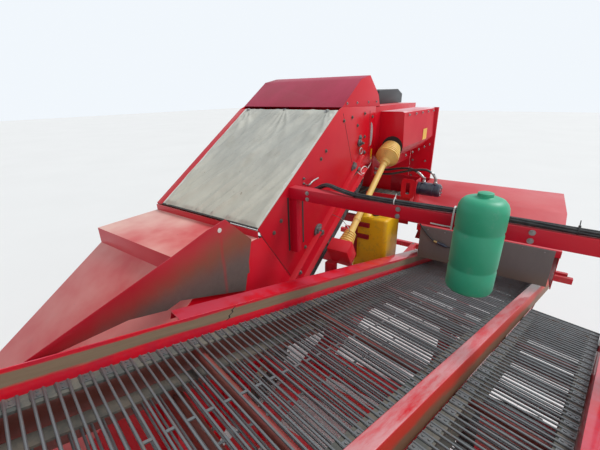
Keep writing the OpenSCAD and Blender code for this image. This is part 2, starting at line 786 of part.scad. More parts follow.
// The folded cover over the drive on the casing's side, open towards the casing
module drive_cover() {
  x = [rear_x, drive_front_x];
  wall = panel_left_y + clear;
  color(red) {
    run_x([[wall, 2620], [-300, 2640], [-190, 2760], [-205, 3110], [-230, 3122], [wall, 3122],
      [wall, 3116], [-233, 3116], [-211, 3107], [-196, 2762], [-303, 2646], [wall, 2626]], x);
    for (end = [x[0], x[1] - sheet])
      run_x([[wall, 2620], [-300, 2640], [-190, 2760], [-205, 3110], [-230, 3122], [wall, 3122]],
        [end, end + sheet]);
    block([rear_x - 30, rear_x + 1], [wall, -160], [2080, 3122]);
  }
}

cowl_x = [-4080, -3250];
cowl_y = [-1250, -700];

module rear_cowl() {
  low = rear_top + sheet + clear;
  color(dark) difference() {
    plate_xz([[cowl_x[0], low], [cowl_x[1], low], [cowl_x[1], 3330], [-3900, 3350], [cowl_x[0], 3290]],
      cowl_y[0], cowl_y[1] - cowl_y[0]);
    plate_xz([[cowl_x[0] + sheet, low - 1], [cowl_x[1] - sheet, low - 1], [cowl_x[1] - sheet, 3324],
      [-3900, 3344], [cowl_x[0] + sheet, 3285]], cowl_y[0] + sheet, cowl_y[1] - cowl_y[0] - 2 * sheet);
  }
}

drive_front_x = -2739;
shaft_top = [drive_front_x, -307, 2760];
shaft_low = [-1600, -262, 2046];
shaft_run = shaft_low - shaft_top;
shaft_len = norm(shaft_run);

// The drive shaft's own frame: Z runs down along it
module on_shaft() {
  translate(shaft_top) rotate([0, acos(shaft_run[2] / shaft_len), atan2(shaft_run[1], shaft_run[0])]) children();
}

module shaft_guard() {
  color([0.85, 0.72, 0.3]) on_shaft() rotate_extrude($fn = 40) polygon([
    [0, 16], [25, 16], [25, 70], [92, 70], [96, 120], [80, 175], [52, 230], [30, 250], [30, shaft_len - 140],
    [48, shaft_len - 125], [52, shaft_len - 60], [62, shaft_len - 40], [62, shaft_len - 5], [0, shaft_len - 5]]);
}

module low_gearbox() {
  color(red) {
    on_shaft() translate([-95, -95, shaft_len - 5 + clear]) cube([190, 190, 120]);
    block([-1560, -1480], [beam_mid_y + 20, beam_mid_y + 100], [beam_top, 1905]);
  }
}

// A box with round upright edges
module rounded_block(x, y, z, r) {
  block([x[0] + r, x[1] - r], y, z);
  block(x, [y[0] + r, y[1] - r], z);
  for (cx = [x[0] + r, x[1] - r], cy = [y[0] + r, y[1] - r])
    translate([cx, cy, z[0]]) cylinder(h = z[1] - z[0], r = r, $fn = 32);
}

module water_tank() {
  color([0.9, 0.75, 0.05]) {
    rounded_block(tank_x, tank_y, tank_z, 45);
    translate([tank_x[1] - 90, tank_y[0] + 100, tank_z[1] - 1]) cylinder(h = 41, r = 60, $fn = 40);
  }
}

// Cross beam over the table

cross_x = -1111;
cross_z = [2590, 2675];

module cross_beam() {
  color(red) {
    block([cross_x - 40, cross_x + 40], [panel_left_y + clear, 1570], cross_z);
    block([cross_x - 30, cross_x + 30], [panel_left_y + clear, panel_left_y + 60], [2160, cross_z[0] + 1]);
    block([cross_x - 30, cross_x + 30], [1510, 1570], [deck_z + clear, cross_z[0] + 1]);
  }
}

canister_r = 115;

module canister() {
  color([0.1, 0.55, 0.42]) translate([cross_x + 40 + clear + canister_r, 800, 2330]) {
    cylinder(h = 490, r = canister_r, $fn = 48);
    translate([0, 0, 489]) cylinder(h = 34, r1 = canister_r, r2 = canister_r - 30, $fn = 48);
  }
}

discharge_x = [-3480, -2400];
discharge_y = [-30, 1300];
discharge_z = [2095, 2300];
discharge_fold_x = -2740;
guide_low = [-3040, 1650];
guide_high_z = 1940;

// Height of the housing's roof over a place along the machine, on its sloping front
function discharge_roof(x) = discharge_z[0]
  + (discharge_x[1] - x) * (discharge_z[1] - discharge_z[0]) / (discharge_x[1] - discharge_fold_x);

// Height of the sloping guide at the housing's rear
function discharge_guide(x) = guide_high_z
  + (x - discharge_x[0]) * (guide_low[1] - guide_high_z) / (guide_low[0] - discharge_x[0]);

// The housing that turns the crop from the cross web down on the picking table
module discharge_housing() {
  x = discharge_x;
  foot = panel_left_y - rail_side;
  color(red) {
    plate_xz([[x[1], discharge_z[0]], [discharge_fold_x, discharge_z[1]], [x[0], discharge_z[1]],
      [x[0], guide_high_z], guide_low, [guide_low[0], guide_low[1] + 8], [x[0] + sheet, guide_high_z + 4],
      [x[0] + sheet, discharge_z[1] - sheet], [discharge_fold_x - 2, discharge_z[1] - sheet],
      [x[1], discharge_z[0] - 7]], discharge_y[0], discharge_y[1] - discharge_y[0]);
    plate_xz([[x[1], discharge_z[0]], [discharge_fold_x, discharge_z[1]], [x[0], discharge_z[1]],
      [x[0], guide_high_z], guide_low, [x[1], 1720]], discharge_y[1] - sheet, sheet);
    block([x[1] - 1, x[1] + 50], [150, discharge_y[1]], [discharge_z[0] - 60, discharge_z[0]]);
    block([x[0], x[0] + sheet], [foot, discharge_y[0] + 1], [rail_top + clear, discharge_z[1]]);
    block([trough_x, trough_x + sheet], [foot, discharge_y[0] + 1], [rail_top + clear, discharge_roof(trough_x) - 1]);
    plate_xz([[frame_rear_x, beam_top], [frame_rear_x + 60, beam_top],
      [frame_rear_x + 60, discharge_guide(frame_rear_x + 60) + 1],
      [frame_rear_x, discharge_guide(frame_rear_x) + 1]], beam_left_y - 90, 60);
  }
}

trough_x = -2670;

module rubber_flap() {
  color(dark) block([discharge_x[1] + 50 + clear, discharge_x[1] + 58 + clear], [190, 1260],
    [1760, discharge_z[0] - 4]);
}

motor_x = -2560;

module feed_motor() {
  x = [motor_x - 80, motor_x + 80];
  color(dark) bar_y(motor_x, 2400, [61, 280], 65);
  color(red) plate_xz([[x[0], discharge_roof(x[0]) + clear], [x[1], discharge_roof(x[1]) + clear],
    [x[1], 2490], [x[0], 2490]], 50, 12);
}

// Picking table

table_roller_r = 95;
table_drop = table_roller_r + rod_d - rod_sunk;
picking_ends = [-3950, 370];
trash_ends = [-3150, 370];
inner_wall_y = -1385;
divider_y = [-432, -346];
outer_wall_y = 100;
picking_web_y = [-1362, -453];
trash_web_y = [-338, 92];
sheet_low = 330;
flange_end = -700;

table_ends = [-4050, 470];
trash_wall_x = -3250;
roller_x = [-3500, -2600, -1700, -800, 100];

// The picking table's side walls on their bearers, with the bars that the webs run over
module table_frame() {
  color(red) on_table() {
    run_x([[inner_wall_y, -sheet_low - 1], [inner_wall_y, wall_h], [inner_wall_y - sheet, wall_h],
      [inner_wall_y - sheet, -sheet_low - 1]], table_ends);
    run_x([[inner_wall_y - sheet + 1, wall_h], [inner_wall_y - 110, wall_h], [inner_wall_y - 110, 60],
      [inner_wall_y - 104, 60], [inner_wall_y - 104, wall_h - sheet],
      [inner_wall_y - sheet + 1, wall_h - sheet]], [table_ends[0], flange_end]);
    run_x([[outer_wall_y, -sheet_low - 1], [outer_wall_y + sheet, -sheet_low - 1],
      [outer_wall_y + sheet, divider_h - sheet], [outer_wall_y + 50, divider_h - sheet],
      [outer_wall_y + 50, divider_h], [outer_wall_y, divider_h]], [trash_wall_x, table_ends[1]]);
    for (x = bearer_x) block([x - 40, x + 40], [x < -2000 ? -1960 : -1480, outer_wall_y + 50],
      [-bearer_depth, -sheet_low]);
    for (x = roller_x) {
      bar_y(x, -table_drop, [inner_wall_y - 1, divider_y[0] - clear], 25);
      if (x > trash_wall_x) bar_y(x, -table_drop, [divider_y[0] + sheet + clear, outer_wall_y + 1], 25);
    }
  }
}

divider_h = 100;

// The hollow rail between the picking web and the trash web
module table_divider() {
  y = divider_y;
  color(red) on_table() {
    run_x([[y[0], -20], [y[1], -20], [y[1] - 18, divider_h], [y[0], divider_h]], table_ends);
    block(table_ends, [y[0], y[0] + sheet], [-sheet_low, -19]);
  }
}

function pair_offsets(length) = [
  for (x = [15:pair_pitch:length - 50]) for (side = [0, rod_gap]) x + side];

module picking_web() {
  color(steel) on_table() translate([0, 0, -table_drop])
    rod_web(picking_ends, table_roller_r, picking_web_y, [inner_wall_y, divider_y[0]], 70,
      pair_offsets(picking_ends[1] - picking_ends[0]), 4);
}

module trash_web() {
  color(steel) on_table() translate([0, 0, -table_drop])
    rod_web(trash_ends, table_roller_r, trash_web_y, [divider_y[0] + sheet, outer_wall_y], 60,
      pair_offsets(trash_ends[1] - trash_ends[0]), 4);
}

// Platform

deck_x = [-1200, 1110];
deck_in_y = 1000;
ladder_x = [450, 850];
hinge_y = 1706;
hinge_z = deck_z - 30;

module platform() {
  color(red) {
    block(deck_x, [deck_in_y, deck_out_y], [deck_z - 5, deck_z]);
    for (y = [deck_in_y, deck_out_y - 40]) block(deck_x, [y, y + 40], [deck_z - 60, deck_z - 4]);
    for (x = [deck_x[0], -600, 0, 600, deck_x[1] - 40])
      block([x, x + 40], [deck_in_y + 39, deck_out_y - 39], [deck_z - 60, deck_z - 4]);
    for (x = [-600, 900]) translate([x, 0, 0])
      run_x([[beam_left_y, beam_z], [beam_left_y + 60, beam_z], [1100, deck_z - 120], [deck_out_y - 20, deck_z - 90],
        [deck_out_y - 20, deck_z - 59], [deck_in_y, deck_z - 59], [beam_left_y, beam_top]], [0, 60]);
    for (x = [ladder_x[0] - 14, ladder_x[1] + 2])
      block([x, x + 12], [deck_out_y - 1, hinge_y + 13], [deck_z - 50, deck_z - 10]);
    for (x = [ladder_x[0] - 14, ladder_x[1] - 20]) translate([x, hinge_y, hinge_z]) rotate([0, 90, 0])
      cylinder(h = 34, r = 8, $fn = 32);
  }
}

rail_y = deck_out_y - 20;
rail_r = 20;
rail_bar_r = 12;
rail_end_y = deck_out_y - 120;

// A post of the railing, and a rail along the machine between two posts
module rail_post(x, y) {
  translate([x, y, deck_z + clear]) cylinder(h = rail_h, r = rail_r, $fn = 24);
}

module rail_run(x) {
  for (z = [rail_h / 2, rail_h - rail_r]) translate([x[0], rail_y, deck_z + z]) rotate([0, 90, 0])
    cylinder(h = x[1] - x[0], r = rail_bar_r, $fn = 24);
  for (end = x) rail_post(end, rail_y);
}

// The railing in two lengths, with the way up between them
module railing() {
  rear = deck_x[0] + 20;
  color(red) {
    rail_run([rear, ladder_x[0] - 20]);
    rail_run([ladder_x[1] + 20, deck_x[1] - 20]);
    rail_post((rear + ladder_x[0]) / 2, rail_y);
    rail_post(rear, rail_end_y);
    for (z = [rail_h / 2, rail_h - rail_r]) translate([rear, rail_end_y, deck_z + z]) rotate([-90, 0, 0])
      cylinder(h = rail_y - rail_end_y, r = rail_bar_r - 2, $fn = 24);
  }
}

module ladder() {
  y = [hinge_y - 10, hinge_y + 12];
  color(red) difference() {
    union() {
      for (x = [ladder_x[0], ladder_x[1] - 12]) block([x, x + 12], y, [380, hinge_z + 14]);
      for (i = [0:3]) block([ladder_x[0] + 11, ladder_x[1] - 11], y, [400 + i * 290, 420 + i * 290]);
    }
    translate([ladder_x[0] - 1, hinge_y, hinge_z]) rotate([0, 90, 0])
      cylinder(h = ladder_x[1] - ladder_x[0] + 2, r = 8 + running, $fn = 32);
  }
}

// Bunker

bunker_right_y = -620;
bunker_left_y = 980;
bunker_front = bunker_x + bunker_len;
sill_z = 1980;
shoulder_z = 1500;
flap_x = [1560, bunker_front - 40];

module bunker() {
  x = [bunker_x, bunker_front];
  color(red) {
    run_x([[bunker_right_y, bunker_top], [bunker_right_y, shoulder_z], [beam_mid_y, bunker_floor_z],
      [bunker_left_y, bunker_floor_z], [bunker_left_y, flap_z - 30], [bunker_left_y - sheet, flap_z - 30],
      [bunker_left_y - sheet, bunker_floor_z + sheet], [beam_mid_y + 2, bunker_floor_z + sheet],
      [bunker_right_y + sheet, shoulder_z + 3], [bunker_right_y + sheet, bunker_top]], x);
    run_x([[bunker_right_y, sill_z], [bunker_right_y, shoulder_z], [beam_mid_y, bunker_floor_z],
      [bunker_left_y, bunker_floor_z], [bunker_left_y, sill_z]], [x[0], x[0] + sheet]);
    run_x([[bunker_right_y, bunker_top], [bunker_right_y, shoulder_z], [beam_mid_y, bunker_floor_z],
      [bunker_left_y, bunker_floor_z], [bunker_left_y, bunker_top]], [x[1] - sheet, x[1]]);
    block([x[0], flap_x[0] - 10], [bunker_left_y - sheet, bunker_left_y], [flap_z - 31, sill_z]);
    block([flap_x[0] - 50, flap_x[0] - 10], [bunker_left_y - sheet, bunker_left_y + 20], [flap_z - 60, sill_z + 160]);
    block([flap_x[1] + 6, x[1]], [bunker_left_y - sheet, bunker_left_y + 20], [flap_z - 60, bunker_top]);
    for (px = [flap_x[0] - 11, flap_x[1] - 60]) translate([px, bunker_left_y + 30, flap_z]) rotate([0, 90, 0])
      cylinder(h = 70, r = 10, $fn = 32);
    for (px = [flap_x[0] - 22, flap_x[1] + 2])
      block([px, px + 12], [bunker_left_y - 1, bunker_left_y + 46], [flap_z - 30, flap_z + 16]);
  }
}

floor_r = 45;
floor_run = 1190;
floor_tilt = 10;
floor_x = [bunker_x + 60, bunker_front - 60];

// The bunker's moving floor, which empties over the flap
module bunker_floor() {
  walls = [bunker_x + sheet + clear, bunker_front - sheet - clear];
  color(dark) translate([0, -330, 1450]) rotate([floor_tilt, 0, 0]) {
    difference() {
      floor_loop(floor_r, floor_x);
      floor_loop(floor_r - belt_t, [floor_x[0] - 1, floor_x[1] + 1]);
    }
    for (y = [0, floor_run]) {
      lying(floor_x, y, floor_r - belt_t + 1);
      lying(walls, y, drum_shaft_r);
    }
    for (i = [0:9]) block(floor_x, [60 + i * 115, 85 + i * 115], [floor_r - 1, floor_r + 25]);
  }
}

module lying(x, y, r) {
  translate([x[0], y, 0]) rotate([0, 90, 0]) cylinder(h = x[1] - x[0], r = r, $fn = 40);
}

module floor_loop(r, x) {
  for (y = [0, floor_run]) lying(x, y, r);
  block(x, [0, floor_run], [-r, r]);
}

module bunker_flap() {
  y = bunker_left_y + 24;
  color(red) difference() {
    union() {
      block(flap_x, [y, y + sheet], [flap_z - 10, bunker_top]);
      block([flap_x[0], flap_x[0] + 50], [y, y + 24], [flap_z - 16, flap_z + 16]);
      block([flap_x[1] - 50, flap_x[1]], [y, y + 24], [flap_z - 16, flap_z + 16]);
    }
    translate([flap_x[0] - 1, bunker_left_y + 30, flap_z]) rotate([0, 90, 0])
      cylinder(h = flap_x[1] - flap_x[0] + 2, r = 10 + running, $fn = 32);
  }
}

main_frame();
axle();
wheel_at(wheel_left_y) tyre();  // tyre_left
wheel_at(wheel_left_y) rim();  // rim_left
wheel_at(wheel_right_y) tyre();  // tyre_right
wheel_at(wheel_right_y) rim();  // rim_right
light_bar();
drawbar();
hitch_eye();
parking_stand();
drive_gearbox();
digging_frame();
share();
digging_web();
coulter_disc(dig_left_y + 36);  // disc_left
coulter_disc(dig_right_y - 26);  // disc_right
ridge_roller();
color(dark) at_lift() ram_barrel(norm(lift_eye - lift_base));  // lift_barrel
color(steel) at_lift() ram_rod(norm(lift_eye - lift_base));  // lift_rod
color(dark) at_swing() ram_barrel(norm(swing_eye - swing_base));  // swing_barrel
color(steel) at_swing() ram_rod(norm(swing_eye - swing_base));  // swing_rod
panel_left();
panel_right();
lower_side_left();
lower_side_right();
front_cover();
cloth_cover();
cover_frame();
hood();
elevator_web();
guide_plate();
rear_frame();
rear_casing();
cross_web();
drive_cover();
rear_cowl();
shaft_guard();
low_gearbox();
water_tank();
cross_beam();
canister();
discharge_housing();
rubber_flap();
feed_motor();
table_frame();
table_divider();
picking_web();
trash_web();
platform();
railing();
ladder();
bunker();
bunker_floor();
bunker_flap();
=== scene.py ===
import math

import bmesh
import bpy
from mathutils import Euler, Matrix, Vector, noise


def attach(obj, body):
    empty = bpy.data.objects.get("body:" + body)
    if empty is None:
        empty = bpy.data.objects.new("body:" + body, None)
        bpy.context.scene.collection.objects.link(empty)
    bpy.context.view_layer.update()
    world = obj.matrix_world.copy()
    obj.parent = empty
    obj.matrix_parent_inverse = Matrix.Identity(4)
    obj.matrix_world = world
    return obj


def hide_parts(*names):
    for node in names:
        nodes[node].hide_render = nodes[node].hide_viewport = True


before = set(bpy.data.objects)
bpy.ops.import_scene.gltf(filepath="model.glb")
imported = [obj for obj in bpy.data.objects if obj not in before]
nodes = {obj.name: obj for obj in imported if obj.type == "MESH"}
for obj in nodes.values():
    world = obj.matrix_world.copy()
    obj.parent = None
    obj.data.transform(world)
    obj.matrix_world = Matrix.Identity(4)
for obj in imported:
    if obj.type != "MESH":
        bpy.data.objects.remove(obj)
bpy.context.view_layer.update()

scene = bpy.context.scene
scene.view_settings.view_transform = "Standard"
quarter = math.pi / 2
ahead, side, up = Vector((1, 0, 0)), Vector((0, 1, 0)), Vector((0, 0, 1))
rolled = 0.0012  # the radius of a folded sheet's edges


def linked(name, data):
    """A new object in the scene."""
    made = bpy.data.objects.new(name, data)
    scene.collection.objects.link(made)
    return made


def turned_at(at, *turn):
    """A frame at a point, turned about X, Y and Z."""
    return Matrix.Translation(at) @ Euler(turn).to_matrix().to_4x4()


# The view of the photograph: from above the front of the picking table, back over the machine.
eye = Vector((0.80, 0.94, 3.30))
sight = Vector((-0.7631, -0.5323, -0.3665)).normalized()
level = Vector((-0.5721, 0.8202, 0.0)).normalized()
lean = math.atan(0.0157)
head = level.cross(sight)
right = math.cos(lean) * level - math.sin(lean) * head
top = math.sin(lean) * level + math.cos(lean) * head
lens = bpy.data.cameras.new("view")
lens.sensor_width, lens.lens, lens.clip_end = 36.0, 19.89, 200
camera = linked("view", lens)
camera.matrix_world = Matrix.Translation(eye) @ Matrix((right, top, -sight)).transposed().to_4x4()
scene.camera = camera


# Node trees: sockets that can be used in plain sums, and one method that adds any node to a tree,
# with its settings and with what goes into its sockets.
class Signal:
    """A socket of a node tree that can be used in a plain sum."""

    def __init__(self, layout, socket):
        self.layout, self.socket = layout, socket

    def sum(self, how, *terms):
        return self.layout.node("ShaderNodeMath", {"operation": how}, dict(enumerate(terms)))

    def __add__(self, other): return self.sum("ADD", self, other)
    def __radd__(self, other): return self.sum("ADD", other, self)
    def __sub__(self, other): return self.sum("SUBTRACT", self, other)
    def __rsub__(self, other): return self.sum("SUBTRACT", other, self)
    def __mul__(self, other): return self.sum("MULTIPLY", self, other)
    def __rmul__(self, other): return self.sum("MULTIPLY", other, self)
    def __abs__(self): return self.sum("ABSOLUTE", self)
    def max(self, other): return self.sum("MAXIMUM", self, other)


class Layout:
    """A node tree being laid out."""

    def __init__(self, tree):
        self.tree = tree

    def node(self, kind, settings=None, sockets=None, out=0):
        made = self.tree.nodes.new(kind)
        for name, value in (settings or {}).items():
            setattr(made, name, value)
        for name, value in (sockets or {}).items():
            if isinstance(value, (Signal, list)):
                for link in [value] if isinstance(value, Signal) else value:
                    self.tree.links.new(link.socket, made.inputs[name])
            else:
                made.inputs[name].default_value = value
        return None if out is None else Signal(self, made.outputs[out])


# Daylight of a studio: an even pale sky, a broad key lamp from the left and a weak one opposite.
sky = bpy.data.worlds.new("studio_sky")
scene.world = sky
sky.use_nodes = True
sky.node_tree.nodes.clear()
air = Layout(sky.node_tree)
camera_ray, glossy_ray, clear_ray = (
    air.node("ShaderNodeLightPath", out="Is %s Ray" % kind) for kind in ("Camera", "Glossy", "Transmission"))
seen = camera_ray.max(glossy_ray).max(clear_ray)
glow = air.node("ShaderNodeBackground", {}, {"Color": (0.90, 0.95, 1.0, 1), "Strength": 0.46 + 0.52 * seen})
air.node("ShaderNodeOutputWorld", {}, {"Surface": glow}, out=None)
for lamp_name, strength, spread, toward in (
        ("key_lamp", 2.15, 20, (0.62, -0.55, -1.0)), ("fill_lamp", 0.50, 60, (-0.6, -0.75, -0.45))):
    lamp = bpy.data.lights.new(lamp_name, "SUN")
    lamp.energy, lamp.angle = strength, math.radians(spread)
    linked(lamp_name, lamp).rotation_euler = Vector(toward).to_track_quat("-Z", "Y").to_euler()


class Coat(Layout):
    """A material in the making: the patterns that the machine's finishes share, and its shader."""

    def __init__(self, name):
        self.material = bpy.data.materials.new(name)
        self.material.use_nodes = True
        super().__init__(self.material.node_tree)
        self.tree.nodes.clear()
        self.place = self.node("ShaderNodeTexCoord", out="Object")

    def local(self, at, turned):
        """The place on the piece, measured in a frame at a point and turned with it."""
        return self.node("ShaderNodeMapping", {"vector_type": "TEXTURE"},
                         {"Vector": self.place, "Location": at, "Rotation": turned})

    def stretched(self, scale, on=None):
        return self.node("ShaderNodeMapping", {}, {"Vector": on or self.place, "Scale": scale})

    def axis(self, which, on=None):
        return self.node("ShaderNodeSeparateXYZ", {}, {"Vector": on or self.place}, out=which)

    def facing(self, which):
        """How far a face points along an axis."""
        return self.axis(which, self.node("ShaderNodeNewGeometry", out="Normal"))

    def cloud(self, scale, detail=4.0, rough=0.55, stretch=None, on=None):
        place = self.stretched(stretch, on) if stretch else on or self.place
        return self.node("ShaderNodeTexNoise", {}, {"Vector": place, "Scale": scale, "Detail": detail,
                                                   "Roughness": rough})

    def wave(self, way, scale, on=None, warp=0.0):
        return self.node("ShaderNodeTexWave", {"bands_direction": way}, {
            "Vector": on or self.place, "Scale": scale, "Distortion": warp})

    def between(self, value, low, high):
        """0 at low, 1 at high, smooth between them."""
        return self.node("ShaderNodeMapRange", {"interpolation_type": "SMOOTHSTEP"},
                         {"Value": value, "From Min": low, "From Max": high})

    def patches(self, cloud, low, high):
        return self.between(self.cloud(*cloud), low, high)

    def band(self, value, low, high, soft):
        after_high = self.between(value, high - soft, high + soft)
        return self.between(value, low - soft, low + soft) * (1 - after_high)

    def mix(self, share, *colours):
        first, second = ((*colour, 1) if isinstance(colour, tuple) else colour for colour in colours)
        return self.node("ShaderNodeMix", {"data_type": "RGBA"}, {0: share, 6: first, 7: second}, out=2)

    def layers(self, colour, *laid):
        """A colour with others laid over it, each after its share."""
        for share, other in laid:
            colour = self.mix(share, colour, other)
        return colour

    def relief(self, height, strength, depth, **under):
        return self.node("ShaderNodeBump", {}, {
            "Strength": strength, "Distance": depth, "Height": height, **under})

    def done(self, **sockets):
        shader = self.node("ShaderNodeBsdfPrincipled", {}, {
            name.replace("_", " "): value for name, value in sockets.items()})
        self.node("ShaderNodeOutputMaterial", {}, {"Surface": shader}, out=None)
        return self.material


def coated(name, tones, tone=None, soil=None, rough=(0.5, 0, 0), metal=None, grain=None, **sockets):
    """A finish of one or two tones with soil in patches and a fine grain.

    tone is the cloud that the two tones follow, soil is its cloud, low and high edge, share and colour,
    rough is the roughness with what tone and soil add to it, metal the same with what soil adds, and
    grain a cloud, or None for that of the tones, with its strength and depth.
    """
    c = Coat(name)
    colour, (roughness, by_tone, by_soil) = (*tones[0], 1), rough
    if tone:
        drift = c.cloud(*tone)
        roughness = roughness + by_tone * drift if by_tone else roughness
        colour = c.mix(drift, *tones) if len(tones) > 1 else colour
    if soil:
        cloud, low, high, share, soiled = soil
        patch = c.patches(cloud, low, high)
        roughness = roughness + by_soil * patch if by_soil else roughness
        colour = c.layers(tones[0] if isinstance(colour, tuple) else colour, (patch * share, soiled))
    if metal:
        sockets["Metallic"] = metal[0] + metal[1] * patch
    if grain:
        cloud, strength, depth = grain
        sockets["Normal"] = c.relief(c.cloud(*cloud) if cloud else drift, strength, depth)
    return c.done(Base_Color=colour, Roughness=roughness, **sockets)


# The floor: one pale level sheet that the machine stands on, painted concrete, faintly mottled. It
# is the stage and no part of the machine.
ground = bmesh.new()
bmesh.ops.create_grid(ground, x_segments=1, y_segments=1, size=70)
floor_mesh = bpy.data.meshes.new("floor")
ground.to_mesh(floor_mesh)
floor = linked("floor", floor_mesh)
floor_mesh.materials.append(coated("pale_floor", ((0.80, 0.80, 0.79), (0.86, 0.86, 0.85)), (0.35, 5),
                                   rough=(0.85, 0, 0)))


# Main frame: two long box beams with cross members, posts and feet, the axle tube, the light bar and
# the rear frame. Welded steel, sprayed red and dulled by dust, paler on top with dust and a painted
# sheen, with dirt thrown up from below.
def red_lacquer(name, colour=(0.58, 0.002, 0.014), aged=(0.44, 0.004, 0.022), dust_and_sheen_share=0.35, dirt=1.5,
                dust_and_sheen_tone=(0.62, 0.22, 0.22)):
    """Sprayed red paint: dirt below a height in metres, and on top a pale film of dust and painted sheen."""
    c = Coat(name)
    mottled = c.patches((1.3, 6, 0.6), 0.40, 0.66)
    # Up-facing faces take a pale film: partly dust, partly a painted sheen that stands for the sky's
    # reflection.
    dust_and_sheen = c.between(c.facing("Z"), 0.55, 0.95) * c.patches((1.6, 4, 0.55), 0.20, 0.85) * dust_and_sheen_share
    splash = c.patches((6.0, 7, 0.72), 0.44, 0.72) * (1 - c.between(c.axis("Z"), dirt * 0.35, dirt)) * 0.8
    runs = c.patches((1.0, 5, 0.6, (9, 9, 0.9)), 0.60, 0.78) * 0.28
    chips = c.patches((26, 8, 0.78), 0.685, 0.70) * 0.6
    paint = c.layers(colour, (mottled * 0.6, aged), (runs, (0.30, 0.03, 0.035)), (dust_and_sheen, dust_and_sheen_tone),
                     (splash, (0.22, 0.13, 0.085)), (chips, (0.14, 0.045, 0.035)))
    orange_peel = c.relief(c.cloud(55, 3), 0.12, 0.0006, Normal=c.relief(c.cloud(2.2, 3), 0.10, 0.02))
    return c.done(Base_Color=paint, Roughness=0.34 + 0.16 * mottled + 0.25 * dust_and_sheen + 0.35 * splash,
                  Specular_IOR_Level=0.30, Coat_Weight=0.10 * (1 - splash), Coat_Roughness=0.12,
                  Normal=orange_peel)


def dress(node, *materials):
    """Gives a CAD node its finishes, slot by slot."""
    mesh = nodes[node].data
    for i in range(max(1, len(mesh.materials))):
        chosen = materials[min(i, len(materials) - 1)]
        if i < len(mesh.materials):
            mesh.materials[i] = chosen
        else:
            mesh.materials.append(chosen)


frame_red = red_lacquer("frame_red")
for node in ("main_frame", "axle", "light_bar", "rear_frame"):
    dress(node, frame_red)


# Fasteners of the main frame: hexagon screws with washers in rows beside the welds and on the light
# bar, and two pairs of round lamps without lettering. Zinc-plated steel; lamps of glossy red plastic.
class Jig(Layout):
    """A Geometry Nodes tree with named sizes that puts a shape on points, as plain mesh with one finish."""

    def __init__(self, name, **sizes):
        super().__init__(bpy.data.node_groups.new(name, "GeometryNodeTree"))
        for given, kind in (
                ("Geometry", "Geometry"), *((size, "Float") for size in sizes), ("Finish", "Material")):
            socket = self.tree.interface.new_socket(given, in_out="INPUT", socket_type="NodeSocket" + kind)
            if given in sizes:
                socket.default_value = sizes[given]
        self.tree.interface.new_socket("Geometry", in_out="OUTPUT", socket_type="NodeSocketGeometry")
        self.given = self.tree.nodes.new("NodeGroupInput")

    def __getitem__(self, name):
        return Signal(self, self.given.outputs[name])

    def vector(self, x=0.0, y=0.0, z=0.0):
        return self.node("ShaderNodeCombineXYZ", {}, {"X": x, "Y": y, "Z": z})

    def moved(self, shape, **to):
        return self.node("GeometryNodeTransform", {}, {"Geometry": shape, "Translation": self.vector(**to)})

    def cylinder(self, sides, radius, depth):
        return self.node("GeometryNodeMeshCylinder", {}, {
            "Vertices": sides, "Radius": radius, "Depth": depth})

    def box(self, *sizes):
        return self.node("GeometryNodeMeshCube", {}, {"Size": self.vector(*sizes)})

    def puts(self, shapes, points, axis, way):
        """Ends the tree: the shapes stand on each point with one axis along a way."""
        joined = self.node("GeometryNodeJoinGeometry", {}, {"Geometry": shapes})
        turned = self.node("FunctionNodeAlignRotationToVector", {"axis": axis}, {"Vector": way})
        many = self.node("GeometryNodeInstanceOnPoints", {}, {
            "Points": points, "Instance": joined, "Rotation": turned})
        real = self.node("GeometryNodeRealizeInstances", {}, {"Geometry": many})
        finished = self.node("GeometryNodeSetMaterial", {}, {"Geometry": real, "Material": self["Finish"]})
        self.node("NodeGroupOutput", {}, {0: finished}, out=None)

    def make(self, name, mesh, finish, **sizes):
        """Runs the tree on a mesh and gives back a plain object."""
        made = linked(name, mesh)
        modifier = made.modifiers.new("jig", "NODES")
        modifier.node_group = self.tree
        for item in self.tree.interface.items_tree:
            if item.in_out == "INPUT" and item.name in sizes:
                modifier[item.identifier] = float(sizes[item.name])
            elif item.in_out == "INPUT" and item.name == "Finish":
                modifier[item.identifier] = finish
        bpy.context.view_layer.update()
        plain = bpy.data.meshes.new_from_object(made.evaluated_get(bpy.context.evaluated_depsgraph_get()))
        made.modifiers.remove(modifier)
        made.data = plain
        return made


def settle(made, body, slot, *stands_for, angle=34):
    """The last step for a piece: its shading, the hiding of the nodes it stands for, and its body."""
    made.data.polygons.foreach_set("use_smooth", [True] * len(made.data.polygons))
    made.data.set_sharp_from_angle(angle=math.radians(angle))
    if stands_for:
        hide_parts(*stands_for)
    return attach(made, body)


screws = Jig("hex_screws", Head=0.011, Height=0.009, Washer=0.016)
half_height = screws["Height"] * 0.5
screws.puts([screws.moved(screws.cylinder(6, screws["Head"], screws["Height"]), z=half_height + 0.0025),
             screws.moved(screws.cylinder(14, screws["Washer"], 0.003), z=0.0015),
             screws.moved(screws.cylinder(8, screws["Head"] * 0.5, screws["Height"]), z=half_height + 0.006)],
            screws["Geometry"], "Z",
            screws.node("GeometryNodeInputNamedAttribute", {"data_type": "FLOAT_VECTOR"}, {"Name": "facing"}))


def plated_steel(name, bright=(0.42, 0.42, 0.41), rust=0.35, rough=0.34):
    """Zinc-plated or bare steel with a dull patina and rust that starts in its pits."""
    return coated(name, (bright, tuple(0.62 * v for v in bright)), (14, 5),
                  ((31, 7, 0.7), 0.62 - 0.25 * rust, 0.72, rust, (0.17, 0.065, 0.025)),
                  rough=(rough, 0.22, 0.3 * rust), metal=(0.9, -0.85 * rust), grain=((120, 4), 0.2, 0.0005))


zinc = plated_steel("zinc_screws")


